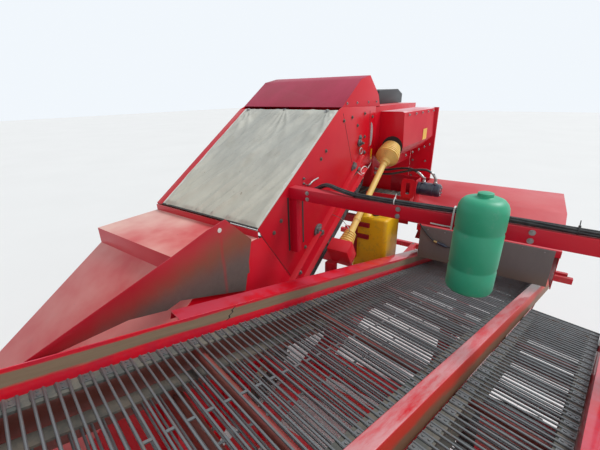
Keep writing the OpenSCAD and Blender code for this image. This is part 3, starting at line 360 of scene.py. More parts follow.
def screw_on(name, spots, head, height, washer, steel=zinc, body="frame"):
    """Hexagon screws with washers, each given by its place and the way that it faces."""
    mesh = bpy.data.meshes.new("places")
    mesh.from_pydata([p for p, _ in spots], [], [])
    facing = mesh.attributes.new("facing", "FLOAT_VECTOR", "POINT")
    for i, (_, way) in enumerate(spots):
        facing.data[i].vector = way
    settle(screws.make(name, mesh, steel, Head=head, Height=height, Washer=washer), body, "steel")


def row(start, end, count, facing):
    """Evenly spaced places from one point to another."""
    a, b = Vector(start), Vector(end)
    return [(a.lerp(b, i / max(1, count - 1)), Vector(facing)) for i in range(count)]


def circle(centre, radius, angles, way, across=ahead):
    """Places on a circle that stands upright along a level direction."""
    return [(Vector(centre) + radius * (math.cos(a) * across + math.sin(a) * up), way) for a in angles]


screw_on("frame_screws", [
    place for x in (-3.30, -1.30, -0.46, 2.19) for y, way in ((0.680, side), (-0.405, -side))
    for dx in (-0.035, 0.035) for place in row((x + dx, y, 0.915), (x + dx, y, 1.025), 2, way)
] + row((-4.34, -1.5, 0.98), (-4.34, 1.5, 0.98), 9, up), 0.013, 0.009, 0.019)


def lathe(work, profile, sides, place):
    """Spins a profile, given as distances along the axis and radii, round the X axis of a frame."""
    rings = []
    for along, radius in profile:
        turns = (2 * math.pi * i / sides for i in range(sides if radius > 1e-6 else 1))
        rings.append([work.verts.new(place @ Vector((along, radius * math.cos(a), radius * math.sin(a))))
                      for a in turns])
    for a, b in zip(rings, rings[1:]):
        for i in range(sides):
            j = (i + 1) % sides
            corners = [a[i % len(a)], a[j % len(a)], b[j % len(b)], b[i % len(b)]]
            corners = [v for k, v in enumerate(corners) if v not in corners[:k]]
            if len(corners) > 2:
                work.faces.new(corners)
    for ring in (rings[0], rings[-1]):
        if len(ring) > 2 and profile[0] != profile[-1]:
            work.faces.new(ring)


def prism(work, low, high):
    """A closed shape between two outlines of equally many corners."""
    low, high = ([work.verts.new(p) for p in outline] for outline in (low, high))
    work.faces.new(high)
    work.faces.new(low[::-1])
    for i in range(len(low)):
        j = (i + 1) % len(low)
        work.faces.new((low[i], low[j], high[j], high[i]))


def wedge(work, place, size, taper):
    """A six-sided block that narrows towards its top, standing on a frame's XY plane."""
    x, y, z = size
    prism(work, *([place @ Vector((sx * x / 2 * share, sy * y / 2 * share, high)) for sx, sy in (
        (-1, -1), (1, -1), (1, 1), (-1, 1))] for high, share in ((0, 1), (z, taper))))


def made_of(name, work, finish):
    """An object from finished mesh code, its faces turned outwards."""
    bmesh.ops.remove_doubles(work, verts=work.verts, dist=1e-6)
    bmesh.ops.recalc_face_normals(work, faces=work.faces)
    mesh = bpy.data.meshes.new(name)
    work.to_mesh(mesh)
    work.free()
    mesh.materials.append(finish)
    return linked(name, mesh)


def piece(name, finish, slot, shapes, *stands_for, body="frame", angle=34):
    """One piece of shapes, each given as its maker and what that takes."""
    work = bmesh.new()
    for maker, *sizes in shapes:
        maker(work, *sizes)
    return settle(made_of(name, work, finish), body, slot, *stands_for, angle=angle)


def facing_frame(at, way):
    """A frame at a point whose X axis points a given way."""
    return Matrix.Translation(at) @ Vector(way).to_track_quat("X", "Z").to_matrix().to_4x4()


c = Coat("lamp_red")
ribs = c.wave("Y", 55.0)
lamp_red = c.done(Base_Color=c.mix(ribs, (0.55, 0.01, 0.012), (0.75, 0.03, 0.03)), Roughness=0.14,
                  Coat_Weight=0.6, Normal=c.relief(ribs, 0.3, 0.002))
lamp_line = [(0.0, 0.052), (0.012, 0.052), (0.016, 0.046), (0.014, 0.020), (0.014, 0.0)]
piece("rear_lamps", lamp_red, "red_paint", [
    (lathe, lamp_line, 28, facing_frame((-4.436, y + dy, 0.95), (-1, 0, 0)))
    for y in (-1.52, 1.52) for dy in (-0.07, 0.07)])

# Wheels: tractor-pattern tyres on cream steel rims, each rim held by a ring of nuts round its hub.
# Rubber, moulded, with a dusty tread; the rims are pressed and sprayed.
tyre_black = coated("tyre_rubber", [(0.022, 0.022, 0.023)], None,
                    ((9, 7, 0.7), 0.42, 0.66, 0.7, (0.15, 0.12, 0.09)),
                    rough=(0.72, 0, 0.2), grain=((70, 5), 0.35, 0.0015))
rim_cream = coated("rim_cream", [(0.62, 0.57, 0.46)], None,
                   ((5, 7, 0.7), 0.45, 0.65, 0.75, (0.20, 0.14, 0.09)), rough=(0.42, 0, 0.4),
                   grain=((60, 4), 0.15, 0.001))


def skin(node, finish, bevel=0.0, slot="red_paint", body="frame", angle=34):
    """Stands a copy of a CAD node in its place, its loose faces joined and its edges rolled."""
    work = bmesh.new()
    work.from_mesh(nodes[node].data)
    bmesh.ops.remove_doubles(work, verts=work.verts, dist=2e-5)
    bmesh.ops.dissolve_limit(work, angle_limit=math.radians(1.5), verts=work.verts, edges=work.edges)
    if bevel:
        sharp = [e for e in work.edges if len(e.link_faces) == 2 and e.calc_face_angle(0) > math.radians(32)]
        bmesh.ops.bevel(work, geom=sharp, offset=bevel, offset_type="OFFSET", segments=2, profile=0.5,
                        affect="EDGES", clamp_overlap=True)
    mesh = bpy.data.meshes.new(node + "_dressed")
    work.to_mesh(mesh)
    work.free()
    mesh.materials.clear()
    mesh.materials.append(finish)
    mesh.polygons.foreach_set("material_index", [0] * len(mesh.polygons))
    settle(linked(node + "_dressed", mesh), body, slot, node, angle=angle)


eighths = [math.pi * i / 4 for i in range(8)]
for which, hub_y, outward in (("left", 1.15, 1), ("right", -1.30, -1)):
    for part, coat, slot in (("tyre_", tyre_black, "tyre"), ("rim_", rim_cream, "rim_paint")):
        skin(part + which, coat, 0, slot, "wheel_" + which, 28)
    nuts = circle((-1.3, hub_y + outward * 0.0072, 0.58), 0.115, eighths, (0, outward, 0))
    screw_on("wheel_nuts_" + which, nuts, 0.014, 0.018, 0.020, body="wheel_" + which)

# Drawbar: a tapered box of welded plate that swings on a pin, with a forged eye bolted to its end,
# a folding stand, and the splined input of the cast gearbox behind it.
drawbar_red = red_lacquer("drawbar_red", dirt=1.1)
for node in ("drawbar", "parking_stand"):
    dress(node, drawbar_red)
skin("hitch_eye", plated_steel("forged_eye", (0.12, 0.115, 0.11), 0.55, 0.5), 0.004, "steel", "drawbar")
screw_on("eye_screws", [
    ((4.2702, 0.13 + dy, 0.6 + dz), ahead) for dy in (-0.055, 0.055) for dz in (-0.055, 0.055)],
    0.013, 0.012, 0.018, body="drawbar")
gearbox_paint = coated("cast_gearbox", [(0.035, 0.036, 0.04)], None,
                       ((7, 6, 0.7), 0.45, 0.7, 0.6, (0.10, 0.075, 0.055)),
                       rough=(0.45, 0, 0.3), grain=((160, 4), 0.5, 0.0012))
dress("drive_gearbox", gearbox_paint, plated_steel("input_shaft", rust=0.2))
screw_on("gearbox_screws", [((2.2402, 0.13 + dy, z), ahead) for dy in (-0.095, 0.095) for z in (1.085, 1.265)]
         + circle((2.2402, 0.13, 1.18), 0.078, [math.pi * i / 3 for i in range(6)], ahead, side),
         0.008, 0.007, 0.011)

# Digging unit: two plates that carry a share of two blades, coulter discs, a dished roller on the
# ridge, and a rod web. The soil keeps blades, discs and roller bright; the rest is dusty and red.
soil_steel = coated("soil_polished", [(0.45, 0.44, 0.42)], (6, 6, 0.7, (4, 40, 4)),
                    ((8, 6, 0.68), 0.46, 0.62, 0.75, (0.20, 0.115, 0.06)),
                    rough=(0.26, 0.3, 0.3), metal=(1, -0.85), grain=(None, 0.2, 0.001))
for node in ("share", "disc_left", "disc_right"):
    dress(node, soil_steel)
skin("ridge_roller", soil_steel, 0, "steel", "ridge_roller")
dress("digging_frame", red_lacquer("digging_red", dirt=1.4), zinc)
plate_spots = ((1.62, 0.66), (1.74, 0.62), (2.02, 0.62), (2.12, 0.58), (2.46, 0.56), (2.56, 0.50),
               (2.74, 0.27), (2.80, 0.30), (2.94, 0.66), (3.03, 0.68), (2.86, 0.42))
screw_on("digging_screws", [
    ((x, y, z), way) for y, way in ((-0.486, side), (-1.577, -side)) for x, z in plate_spots],
    0.012, 0.009, 0.017, body="digging_unit")
share_at = turned_at((2.790, -1.0265, 0.335), 0, math.radians(24), 0)
screw_on("share_screws", [(share_at @ Vector((0.035, s * (0.255 + dy), 0.012)), share_at.to_3x3() @ up)
                          for s in (-1, 1) for dy in (-0.15, -0.05, 0.05, 0.15)],
         0.010, 0.004, 0.014, body="digging_unit")

# Webs: endless rubber belts with steel rods riveted across them in pairs, over drums on shafts. The
# same make is used for the digging, elevator, picking and trash webs, each with its own spacing.
pairs = Jig("rod_pairs", Width=0.9, Rod=0.0055, Gap=0.037, Count=100, Plate=0.05, Clip=0.0)
one_rod = pairs.node("GeometryNodeTransform", {}, {
    "Geometry": pairs.cylinder(10, pairs["Rod"], pairs["Width"]), "Rotation": (quarter, 0, 0)})
pair_parts = [pairs.moved(one_rod, x=pairs["Gap"] * 0.5 * sign) for sign in (-1, 1)]
end_plate = pairs.box(pairs["Gap"] + 0.014, pairs["Plate"], 0.0035)
rivet = pairs.cylinder(8, 0.0065, 0.008)
for sign in (-1, 1):
    at_end = (pairs["Width"] * 0.5 - pairs["Plate"] * 0.5) * sign
    pair_parts.append(pairs.moved(end_plate, y=at_end, z=-0.001))
    pair_parts += [pairs.moved(rivet, y=at_end + pairs["Plate"] * shift) for shift in (-0.25, 0.25)]
pair_parts.append(pairs.box(pairs["Gap"], pairs["Clip"], 0.006))
course = pairs.node("GeometryNodeResampleCurve", {}, {
    "Curve": pairs.node("GeometryNodeMeshToCurve", {}, {"Mesh": pairs["Geometry"]}), "Count": pairs["Count"]})
pairs.puts(pair_parts, course, "X", pairs.node("GeometryNodeInputTangent", out="Tangent"))
belt_thick = 0.012


def web_course(length, radius, start=0.0):
    """The closed way of a belt round two drums, as points in the web's XZ plane."""
    half_turn = [math.pi * i / 12 for i in range(13)]
    points = [(start, radius)] + [(length + radius * math.sin(a), radius * math.cos(a)) for a in half_turn]
    points += [(-radius * math.sin(a), -radius * math.cos(a)) for a in half_turn]
    return points[:-1] + ([(0.0, radius)] if start > 0 else [])


def belt(work, length, radius, y0, y1, place):
    """One endless belt round two drums."""
    inner = radius - belt_thick
    loops = [[work.verts.new(place @ Vector((x, y, z))) for x, z in web_course(length, r)]
             for r, y in ((radius, y0), (radius, y1), (inner, y1), (inner, y0))]
    for a, b in zip(loops, loops[1:] + loops[:1]):
        for i in range(len(a)):
            j = (i + 1) % len(a)
            work.faces.new((a[i], a[j], b[j], b[i]))


rod_steel = coated("web_rods", ((0.24, 0.26, 0.27), (0.13, 0.135, 0.135)), (5, 6, 0.65),
                   ((17, 7, 0.75), 0.55, 0.72, 0.7, (0.19, 0.10, 0.055)),
                   rough=(0.30, 0.30, 0.2), metal=(0.75, -0.6), grain=((220, 3), 0.15, 0.0004))
belt_rubber = coated("web_belts", ((0.045, 0.050, 0.045), (0.11, 0.12, 0.11)), (22, 7, 0.75),
                     ((5, 6, 0.7), 0.40, 0.64, 0.7, (0.21, 0.18, 0.14)), rough=(0.78, 0, 0.15),
                     grain=(None, 0.6, 0.003))
drum_steel = plated_steel("web_drums", (0.20, 0.19, 0.18), 0.6, 0.5)


def web(name, body, place, length, radius, y, belt_w, shaft_y, pitch, gap, clip=0.0, plate=0.05):
    """A whole web: belts, drums on their shafts, and rods in pairs round the belts."""
    piece(name + "_belts", belt_rubber, "belt_rubber", [
        (belt, length, radius, *ends, place)
        for ends in ((y[0], y[0] + belt_w), (y[1] - belt_w, y[1]))], body=body)
    low, high, drum, shaft, clear = y[0] + 0.001, y[1] - 0.001, radius - belt_thick - 0.0006, 0.022, 0.0003
    profile = [(shaft_y[0] + clear, shaft), (low, shaft), (low, drum), (high, drum), (high, shaft),
               (shaft_y[1] - clear, shaft)]
    piece(name + "_drums", drum_steel, "steel", [
        (lathe, profile, 28, place @ Matrix.Translation((x, 0, 0)) @ Matrix.Rotation(quarter, 4, "Z"))
        for x in (0.0, length)], body=body)
    line = [Vector((x, 0, z)) for x, z in web_course(length, radius + 0.003, gap / 2 + 0.015)]
    mesh = bpy.data.meshes.new("course")
    mesh.from_pydata(line, [(i, (i + 1) % len(line)) for i in range(len(line))], [])
    around = sum((a - b).length for a, b in zip(line, line[1:] + line[:1]))
    rods = pairs.make(name + "_rods", mesh, rod_steel, Width=y[1] - y[0], Gap=gap, Clip=clip, Plate=plate,
                      Count=round(around / pitch))
    rods.data.transform(place @ Matrix.Translation((0, (y[0] + y[1]) / 2, 0)))
    settle(rods, body, "rod_steel", name)


web("digging_web", "digging_unit", turned_at((1.466, 0, 0.685), 0, math.radians(18.6), 0), 1.25, 0.085,
    (-1.566, -0.493), 0.06, (-1.573, -0.486), 0.10, 0.05, plate=0.03)

# Hydraulic cylinders: black barrels with a collar at each of two oil ports, and chromed rods with
# welded eyes, pinned between the frame and what they move.
ram_black = coated("ram_paint", [(0.02, 0.02, 0.022)], None,
                   ((12, 6, 0.7), 0.45, 0.7, 0.6, (0.12, 0.095, 0.07)), rough=(0.33, 0, 0.4),
                   grain=((80, 3), 0.15, 0.0006))
rod_chrome = coated("rod_chrome", ((0.72, 0.72, 0.73), (0.58, 0.57, 0.55)), (20, 5), rough=(0.08, 0.14, 0),
                    Metallic=1.0)
port_line = [(0.034, 0.011), (0.046, 0.011), (0.046, 0.007), (0.056, 0.007), (0.056, 0.0)]
for ram, base, way, closed, port_way in (
        ("lift", (1.5, -1.65, 1.13), Vector((0.75, 0, -0.49)), 0.896, (0, -1, 0)),
        ("swing", (2.33, -0.33, 0.93), Vector((0.63, 0.32, 0)), 0.7066, (0, 0, 1))):
    way.normalize()
    skin(ram + "_barrel", ram_black, 0, "ram_paint", ram + "_barrel")
    skin(ram + "_rod", rod_chrome, 0, "rod_chrome", ram + "_rod")
    shapes = []
    for at, radius in ((0.075, 0.0385), (closed * 0.6 - 0.026, 0.0400)):
        gland = [(0, 0.0358), (0.001, radius), (0.020, radius), (0.021, 0.0358)]
        shapes += [(lathe, gland, 24, facing_frame(Vector(base) + way * at, way)),
                   (lathe, port_line, 10, facing_frame(Vector(base) + way * (at + 0.010), port_way))]
    piece(ram + "_ports", ram_black, "ram_paint", shapes, body=ram + "_barrel")

# Elevator housing: flat side panels and folded channels of 6 mm sheet, sprayed red, screwed together
# with hexagon screws. The front cover, which faces up, is paler than the panels: some dust and a
# painted reflection of the sky.
panel_red = red_lacquer("panel_red", (0.62, 0.002, 0.013), (0.54, 0.003, 0.022), 0.2, 1.2)
for node in ("panel_left", "panel_right", "lower_side_left", "lower_side_right", "cover_frame"):
    skin(node, panel_red, rolled)
# Its pale pink top is mostly a painted reflection of the sky, with some dust.
front_red = red_lacquer("front_red", (0.60, 0.003, 0.015), (0.54, 0.008, 0.03), 1.25, 1.0, (0.84, 0.50, 0.43))
skin("front_cover", front_red, rolled)
corner_at, slope = (-0.716, 0, 2.465), math.radians(33.1)
corner = turned_at(corner_at, 0, slope, 0)
down_slope, out_of = corner.to_3x3() @ ahead, corner.to_3x3() @ up
near, far = -0.460, -1.593  # the outer faces of the two side panels
both_sides = ((near, side), (far, -side))
panel_spots = [(-1.599, 2.863), (-1.520, 2.809), (-0.967, 2.448), (-0.881, 2.384), (-2.06, 3.10),
               (-2.33, 3.12), (-2.52, 3.08), (-2.18, 3.02), (-2.35, 2.90), (-1.90, 3.08)]
panel_spots += [(corner @ Vector((-1.30 + i * 1.02, 0, -0.60))).xz for i in range(4)]
screw_on("panel_screws", [((x, y, z), way) for y, way in both_sides for x, z in panel_spots],
         0.010, 0.008, 0.0165, plated_steel("panel_bolts", (0.24, 0.21, 0.19), 0.6, 0.5))
channel_spots = [(corner @ Vector((-1.36 + i * 0.42, 0, -0.72))).xz for i in range(10)]
screw_on("channel_screws", [
    ((x, y, z), way) for x, z in channel_spots for y, way in ((near + 0.006, side), (far - 0.006, -side))],
    0.012, 0.010, 0.020)

# Flanged bearings of the elevator's shafts: a cast housing, a seal and a turned shaft end. Studs, a
# stop lever and a ring bolt of round steel stand beside them, and a grey crescent covers the slot.
bearing_iron = plated_steel("bearing_iron", (0.20, 0.20, 0.20), 0.5, 0.5)
bearing_line = ((0.0, 1), (0.012, 1), (0.015, 0.92), (0.017, 0.66), (0.030, 0.62), (0.033, 0.52),
                (0.028, 0.50), (0.028, 0.30), (0.052, 0.30), (0.055, 0.24), (0.055, 0))
stud_line = ((0.0, 1), (0.006, 1), (0.008, 0.85), (0.010, 0.5), (0.018, 0.45), (0.018, 0))


def wide(line, radius):
    """A profile with its radii given as shares of one radius."""
    return [(along, radius * share) for along, share in line]


piece("shaft_bearings", bearing_iron, "steel", [
    (lathe, wide(bearing_line, r), 30, facing_frame((x, y, z), way))
    for x, z, r in ((-2.146, 2.614, 0.062), (-1.480, 2.190, 0.066), (-2.231, 2.853, 0.036))
    for y, way in both_sides])
screw_on("bearing_screws", [
    place for x, z, r in ((-2.146, 2.614, 0.049), (-1.480, 2.190, 0.052))
    for y, way in ((near + 0.016, side), (far - 0.016, -side))
    for place in circle((x, y, z), r, [(i + 0.5) * quarter for i in range(4)], way)], 0.007, 0.006, 0.009)


def upright(outline, *levels):
    """An outline of a side view at each of some places across the machine."""
    return [[(x, y, z) for x, z in outline] for y in levels]


crescent_grey = coated("crescent_grey", ((0.50, 0.50, 0.50), (0.36, 0.35, 0.34)), (10, 5),
                       rough=(0.35, 0.2, 0), Metallic=0.3)
steps = [-1 + i / 8 for i in range(17)]
crescent = [(-2.492 - 0.052 * math.sqrt(1 - t * t), 2.911 + 0.121 * t) for t in steps]
crescent += [(-2.492, 2.911 + 0.121 * t) for t in steps[-2:0:-1]]
piece("slot_cover", crescent_grey, "steel", [(prism, *upright(crescent, -0.4595, -0.4565))], angle=20)


def sweep(work, line, section):
    """A closed shape along a line, whose section is given for each direction of the line."""
    rows = []
    for i, p in enumerate(line):
        way = (line[min(i + 1, len(line) - 1)] - line[max(i - 1, 0)]).normalized()
        rows.append([work.verts.new(p + off) for off in section(way)])
    for a, b in zip(rows, rows[1:]):
        for k in range(len(a)):
            j = (k + 1) % len(a)
            work.faces.new((a[k], a[j], b[j], b[k]))
    work.faces.new(rows[0][::-1])
    work.faces.new(rows[-1])


def rod_along(name, points, radius, finish, slot="steel", sides=10, rings=4):
    """A round rod, hose or wire bent smoothly along points, closed at its ends."""
    points = [Vector(p) for p in points]
    line = []
    for i in range(len(points) - 1):
        before, a = points[max(0, i - 1)], points[i]
        b, after = points[i + 1], points[min(len(points) - 1, i + 2)]
        for t in (k / rings for k in range(rings)):
            line.append(0.5 * (2 * a + (b - before) * t + (2 * before - 5 * a + 4 * b - after) * t * t
                               + (3 * a - before - 3 * b + after) * t ** 3))
    line.append(points[-1])
    across = (line[1] - line[0]).normalized().orthogonal().normalized()

    def section(way):
        nonlocal across
        across = (across - way * across.dot(way)).normalized()
        other = way.cross(across)
        turns = [2 * math.pi * k / sides for k in range(sides)]
        return [radius * (math.cos(a) * across + math.sin(a) * other) for a in turns]

    piece(name, finish, slot, [(sweep, line, section)], angle=50)


def strip(name, points, width_way, width, thickness, finish, slot):
    """A thin flat band that follows points, with its width along one way and its thickness square to it."""
    half = Vector(width_way).normalized() * width / 2

    def section(way):
        off = way.cross(half).normalized() * thickness / 2
        return half + off, off - half, -half - off, half - off

    return piece(name, finish, slot, [(sweep, [Vector(p) for p in points], section)])


rod_along("stop_lever", [(-1.297, -0.461, 2.642), (-1.297, -0.440, 2.642), (-1.300, -0.428, 2.650),
                         (-1.345, -0.425, 2.668), (-1.420, -0.425, 2.676)], 0.007, zinc)
turns = [quarter - math.pi * i / 6 for i in range(13)]
ring = [p for p, _ in circle((-2.242, -0.440, 2.775), 0.030, turns, side)]
rod_along("ring_bolt", ring, 0.0055, zinc, rings=2)
rod_along("ring_shank", [(-2.242, -0.461, 2.745), (-2.242, -0.450, 2.745), (-2.242, -0.440, 2.748)], 0.0065,
          zinc)
piece("panel_studs", bearing_iron, "steel", [
    (lathe, wide(stud_line, r), 18, facing_frame((x, near, z), side)) for x, z, r in (
        (-1.345, 2.585, 0.016), (-1.262, 2.700, 0.010), (-1.262, 2.660, 0.010), (-2.250, 2.90, 0.028),
        (-2.36, 2.745, 0.020))])

# Lap joints where two sheets of the panel meet: each is a low strip on the sheet in dark red, a
# painted shadow along its edge.
seam_shadow_paint = coated("seam_shadow", ((0.10, 0.004, 0.008), (0.05, 0.01, 0.01)), (30, 4), rough=(0.6, 0, 0))


def seam(name, start, end, width, finish=seam_shadow_paint):
    """A low strip on the near panel, between two points of its side view."""
    a, b = (Vector((x, near, z)) for x, z in (start, end))
    foot = (b - a).normalized().cross(side) * width / 2
    piece(name, finish, "red_paint", [(prism, *(
        [p + lift for p in (a - half, b - half, b + half, a + half)]
        for half, lift in ((foot, 0 * side), (foot * 0.6, 0.0012 * side))))])


seam("head_seam", (-1.882, 3.145), (-2.090, 2.690), 0.005)
seam("flap_seam", (-2.455, 3.140), (-2.470, 2.660), 0.006)
seam("low_seam", (-0.735, 2.425), (-1.060, 1.955), 0.005)

# Cloth cover: one sheet of coated cloth over the elevator, held by three screws under the hood and
# by rails along its sides, with a sewn white hem; it has stretched, so folds fan from the screws.
c = Coat("cover_cloth")
weave = c.wave("X", 110.0, c.local(corner_at, (0, slope, 0)), 0.6) + c.wave("Y", 110.0, warp=0.6)
damp = c.patches((1.4, 6, 0.62, (1.2, 3.2, 1.2)), 0.38, 0.66)
grime = c.patches((5.5, 7, 0.7), 0.50, 0.72)
height = c.axis("Z")
low = 1 - c.between(height, 2.50, 2.95)
spots = c.patches((19, 6, 0.75), 0.640, 0.67) * c.between(height, 2.55, 2.62)
spots = spots * (1 - c.between(height, 2.70, 2.76))
cover_cloth = c.done(
    Base_Color=c.layers((0.57, 0.565, 0.50), (damp * 0.65, (0.40, 0.41, 0.38)),
                        (grime * 0.35, (0.35, 0.33, 0.26)), (low * 0.30, (0.56, 0.50, 0.36)),
                        (spots * 0.75, (0.18, 0.12, 0.06))),
    Roughness=0.55 + 0.15 * damp,
    Normal=c.relief(weave, 0.10, 0.0004, Normal=c.relief(c.cloud(30, 5), 0.15, 0.003)))
cloth_x, cloth_y = (-1.288, 0.002), (-1.512, -0.462)
holds = (-1.465, -1.015, -0.562)
fan = ((-0.62, 11, 0.8), (-0.33, 15, 1.0), (-0.06, 16, 0.9), (0.22, 15, 1.1), (0.5, 12, 0.8))


def cloth_height(x, y):
    """How far the cloth stands off its rails at a point of its own frame."""
    from_top = x - cloth_x[0]
    down = from_top / (cloth_x[1] - cloth_x[0])
    over = (y - cloth_y[0]) / (cloth_y[1] - cloth_y[0])
    edge = min(1.0, over / 0.035, (1 - over) / 0.035)
    rim = min(edge, max(0.15, min(1.0, (1 - down) / 0.03)), 0.25 + down / 0.07)
    height = 0.0
    for hold_y in holds:
        dx, dy = from_top + 0.03, y - hold_y
        reach, turn = math.hypot(dx, dy), math.atan2(dy, dx)
        for way, sharp, size in fan:
            height += size * math.exp(-((turn - way - 0.05 * math.sin(6 * reach)) * sharp) ** 2) * math.exp(
                -((reach - 0.14) / 0.46) ** 2) * 0.0085
    for deep, often, seed in ((0.034, 5.2, 0.7), (0.020, 10.5, 6.3)):
        fold = abs(noise.noise(Vector((x * 0.8, (y + 0.42 * x) * often, seed))))
        height += deep * max(0.0, 0.32 - fold) ** 1.5 * 3.0
    height += 0.0030 * noise.noise(Vector((x * 2.2, y * 7.0 + x * 3.0, 2.0)))
    height += 0.0018 * noise.noise(Vector((x * 11, y * 17, 5.0)))
    creases = abs(noise.noise(Vector((x * 1.8 + y * 0.9, y * 6.0 + x * 3.2, 8.0))))
    height += 0.0060 * max(0.0, 0.20 - creases) / 0.20 * min(1.0, down * 3)
    sag = 0.004 * (0.5 - 0.5 * math.cos(2 * math.pi * from_top / 0.303))
    return 0.0012 + rim * max(-0.0002, height - sag * 0.6 + 0.0015)


def spread(ends, count):
    """The ends of so many equal steps from one value to another."""
    return [ends[0] + (ends[1] - ends[0]) * i / count for i in range(count + 1)]


down_n, in_row = 140, 117
mesh = bpy.data.meshes.new("cloth_cover_sheet")
mesh.from_pydata(
    [corner @ Vector((x, y, cloth_height(x, y)))
     for x in spread(cloth_x, down_n) for y in spread(cloth_y, in_row - 1)],
    [], [(i, i + in_row, i + in_row + 1, i + 1) for i in range(down_n * in_row) if (i + 1) % in_row])
mesh.materials.append(cover_cloth)
cloth = linked("cloth_cover_sheet", mesh)
thick = cloth.modifiers.new("cloth_thickness", "SOLIDIFY")
thick.thickness, thick.offset = 0.0010, 1.0
settle(cloth, "frame", "cover_cloth", "cloth_cover", angle=60)
c = Coat("cover_hem")
hem_dirt = c.patches((9, 6, 0.7), 0.42, 0.7)
stitches = c.wave("X", 60.0, c.local(corner_at, (0, slope, 0)))
hem_white = c.done(Base_Color=c.mix(hem_dirt * 0.6, (0.74, 0.73, 0.68), (0.50, 0.48, 0.40)), Roughness=0.6,
                   Normal=c.relief(stitches, 0.25, 0.001))
hems = [
    strip("cover_hem_" + label, [
        corner @ Vector((x, y, 0.0032 + 0.5 * cloth_height(x, y))) for x in spread(cloth_x, 40)],
        side, width, 0.0016, hem_white, "cover_cloth")
    for label, y, width in (("near", -0.4765, 0.030), ("far", -1.5020, 0.020))]
strip_black = coated("cover_strip", ((0.018, 0.018, 0.018), (0.06, 0.055, 0.05)), (25, 5), rough=(0.7, 0, 0))
strip("cover_strip_low", [corner @ Vector((-0.0035, y, 0.0050)) for y in (-1.512, -1.2, -0.9, -0.6, -0.462)],
      down_slope, 0.012, 0.006, strip_black, "belt_rubber")
screw_on("cover_screws", [(corner @ Vector((-1.272, y, 0.0055)), out_of) for y in holds], 0.010, 0.007, 0.022)

# Hood: a folded lid over the elevator's head, its front a darker maroon pink than its red flanks, with
# a row of small screws along its foot. The elevator's web runs inside the housing.
c = Coat("hood_red")
chalk = c.cloud(1.8, 6, 0.6, (1, 1.6, 1))
mottled = c.mix(c.between(chalk, 0.35, 0.68), (0.34, 0.008, 0.040), (0.42, 0.024, 0.072))
# Faces that point along Y are red; every other face takes the darker maroon.
flank = c.between(abs(c.facing("Y")), 0.5, 0.8)
hood_red = c.done(Base_Color=c.mix(flank, mottled, (0.60, 0.002, 0.018)), Roughness=0.42 + 0.15 * chalk,
                  Specular_IOR_Level=0.35, Normal=c.relief(chalk, 0.1, 0.006))
skin("hood", hood_red, rolled)
screw_on("hood_screws", [((x, y, 3.222), way) for x in (-1.95, -2.15, -2.40, -2.60) for y, way in both_sides],
         0.007, 0.006, 0.012)
web("elevator_web", "frame", corner @ Matrix.Translation((-1.700, 0, -0.590)), 4.300, 0.105, (-1.571, -0.482),
    0.06, (-1.587, -0.466), 0.10, 0.05, plate=0.03)

# Guide plate: a bent sheet beside the front cover, bright red along its top and brown, then grey,
# lower down, with a pale hole near its peak.
c = Coat("guide_worn")
wobble = c.cloud(3.5, 6, 0.6, (2, 2, 1))
grain = c.cloud(30, 7, 0.75)
streak = c.band(c.axis("X") + 0.03 * wobble, -0.378, -0.362, 0.012) * 0.45
# Lower down the red gives way to brown and then grey; a narrow upright band stays red.
low_tone_share = c.between(c.axis("Z") + 0.235 * c.axis("X") + (wobble - 0.5) * 0.10, 2.560, 2.330) * (1 - streak)
dull = c.between(c.axis("Z") + (wobble - 0.5) * 0.10, 2.46, 2.28)
low_brown = c.mix(grain, (0.28, 0.060, 0.040), (0.20, 0.085, 0.045))
low_grey = c.mix(grain, (0.085, 0.070, 0.065), (0.185, 0.150, 0.130))
guide_worn = c.done(Base_Color=c.mix(low_tone_share, (0.44, 0.003, 0.018), c.mix(dull, low_brown, low_grey)),
                    Roughness=0.34 + 0.28 * low_tone_share, Metallic=0.25 * low_tone_share, Normal=c.relief(wobble, 0.2, 0.004))
skin("guide_plate", guide_worn, 0.001)
bare_white = coated("bare_white", ((0.80, 0.78, 0.74), (0.62, 0.60, 0.55)), (40, 4), rough=(0.5, 0, 0))
piece("guide_hole", bare_white, "red_paint", [
    (lathe, [(0.0, 0.0145), (0.0015, 0.0145), (0.002, 0.012), (0.002, 0.0)], 20,
     facing_frame((-0.381, -0.448, 2.580), side))])

# Cross web: a wide rubber belt that carries the crop across the machine to the picking table, with
# moulded cleats across it. The belt of the bunker's moving floor is of the same rubber.
for node in ("cross_web", "bunker_floor"):
    dress(node, belt_rubber)
piece("cross_web_cleats", belt_rubber, "belt_rubber", [
    (wedge, Matrix.Translation((-3.060, -1.44 + i * 0.09, 2.0895)), (0.68, 0.022, 0.018), 0.9)
    for i in range(19)])

# Rear casing, drive cover and cross beam: folded sheet and box section, sprayed red. The drive
# cover's top is pale pink: some dust and a painted reflection of the sky. Two places open to the
# dark inside are drawn as dark sheets of painted shade: the shaft's ring in the cover's front and
# two narrow slots in the panel beside the beam's post.
casing_red = red_lacquer("casing_red", (0.62, 0.003, 0.015), (0.54, 0.005, 0.024), 0.95, 1.2)
skin("rear_casing", casing_red, rolled)
piece("casing_laps", casing_red, "red_paint", [
    (wedge, turned_at((-3.280, -1.5928, 2.5625), quarter, 0, 0), (0.045, 1.20, 0.0022), 0.97),
    (wedge, turned_at((-3.9498, -1.0265, 2.5625), 0, -quarter, 0), (1.20, 0.045, 0.0022), 0.97)])
screw_on("casing_rivets", [
    place for x, y, count, way in (
        (-3.280, -1.5948, 9, -side), (-3.9518, -1.0265, 9, -ahead), (-3.915, far, 7, -side),
        (-2.640, far, 7, -side), (-3.95, -1.555, 7, -ahead), (-3.95, -0.500, 7, -ahead))
    for place in row((x, y, 2.02), (x, y, 3.10), count, way)], 0.006, 0.003, 0.010)
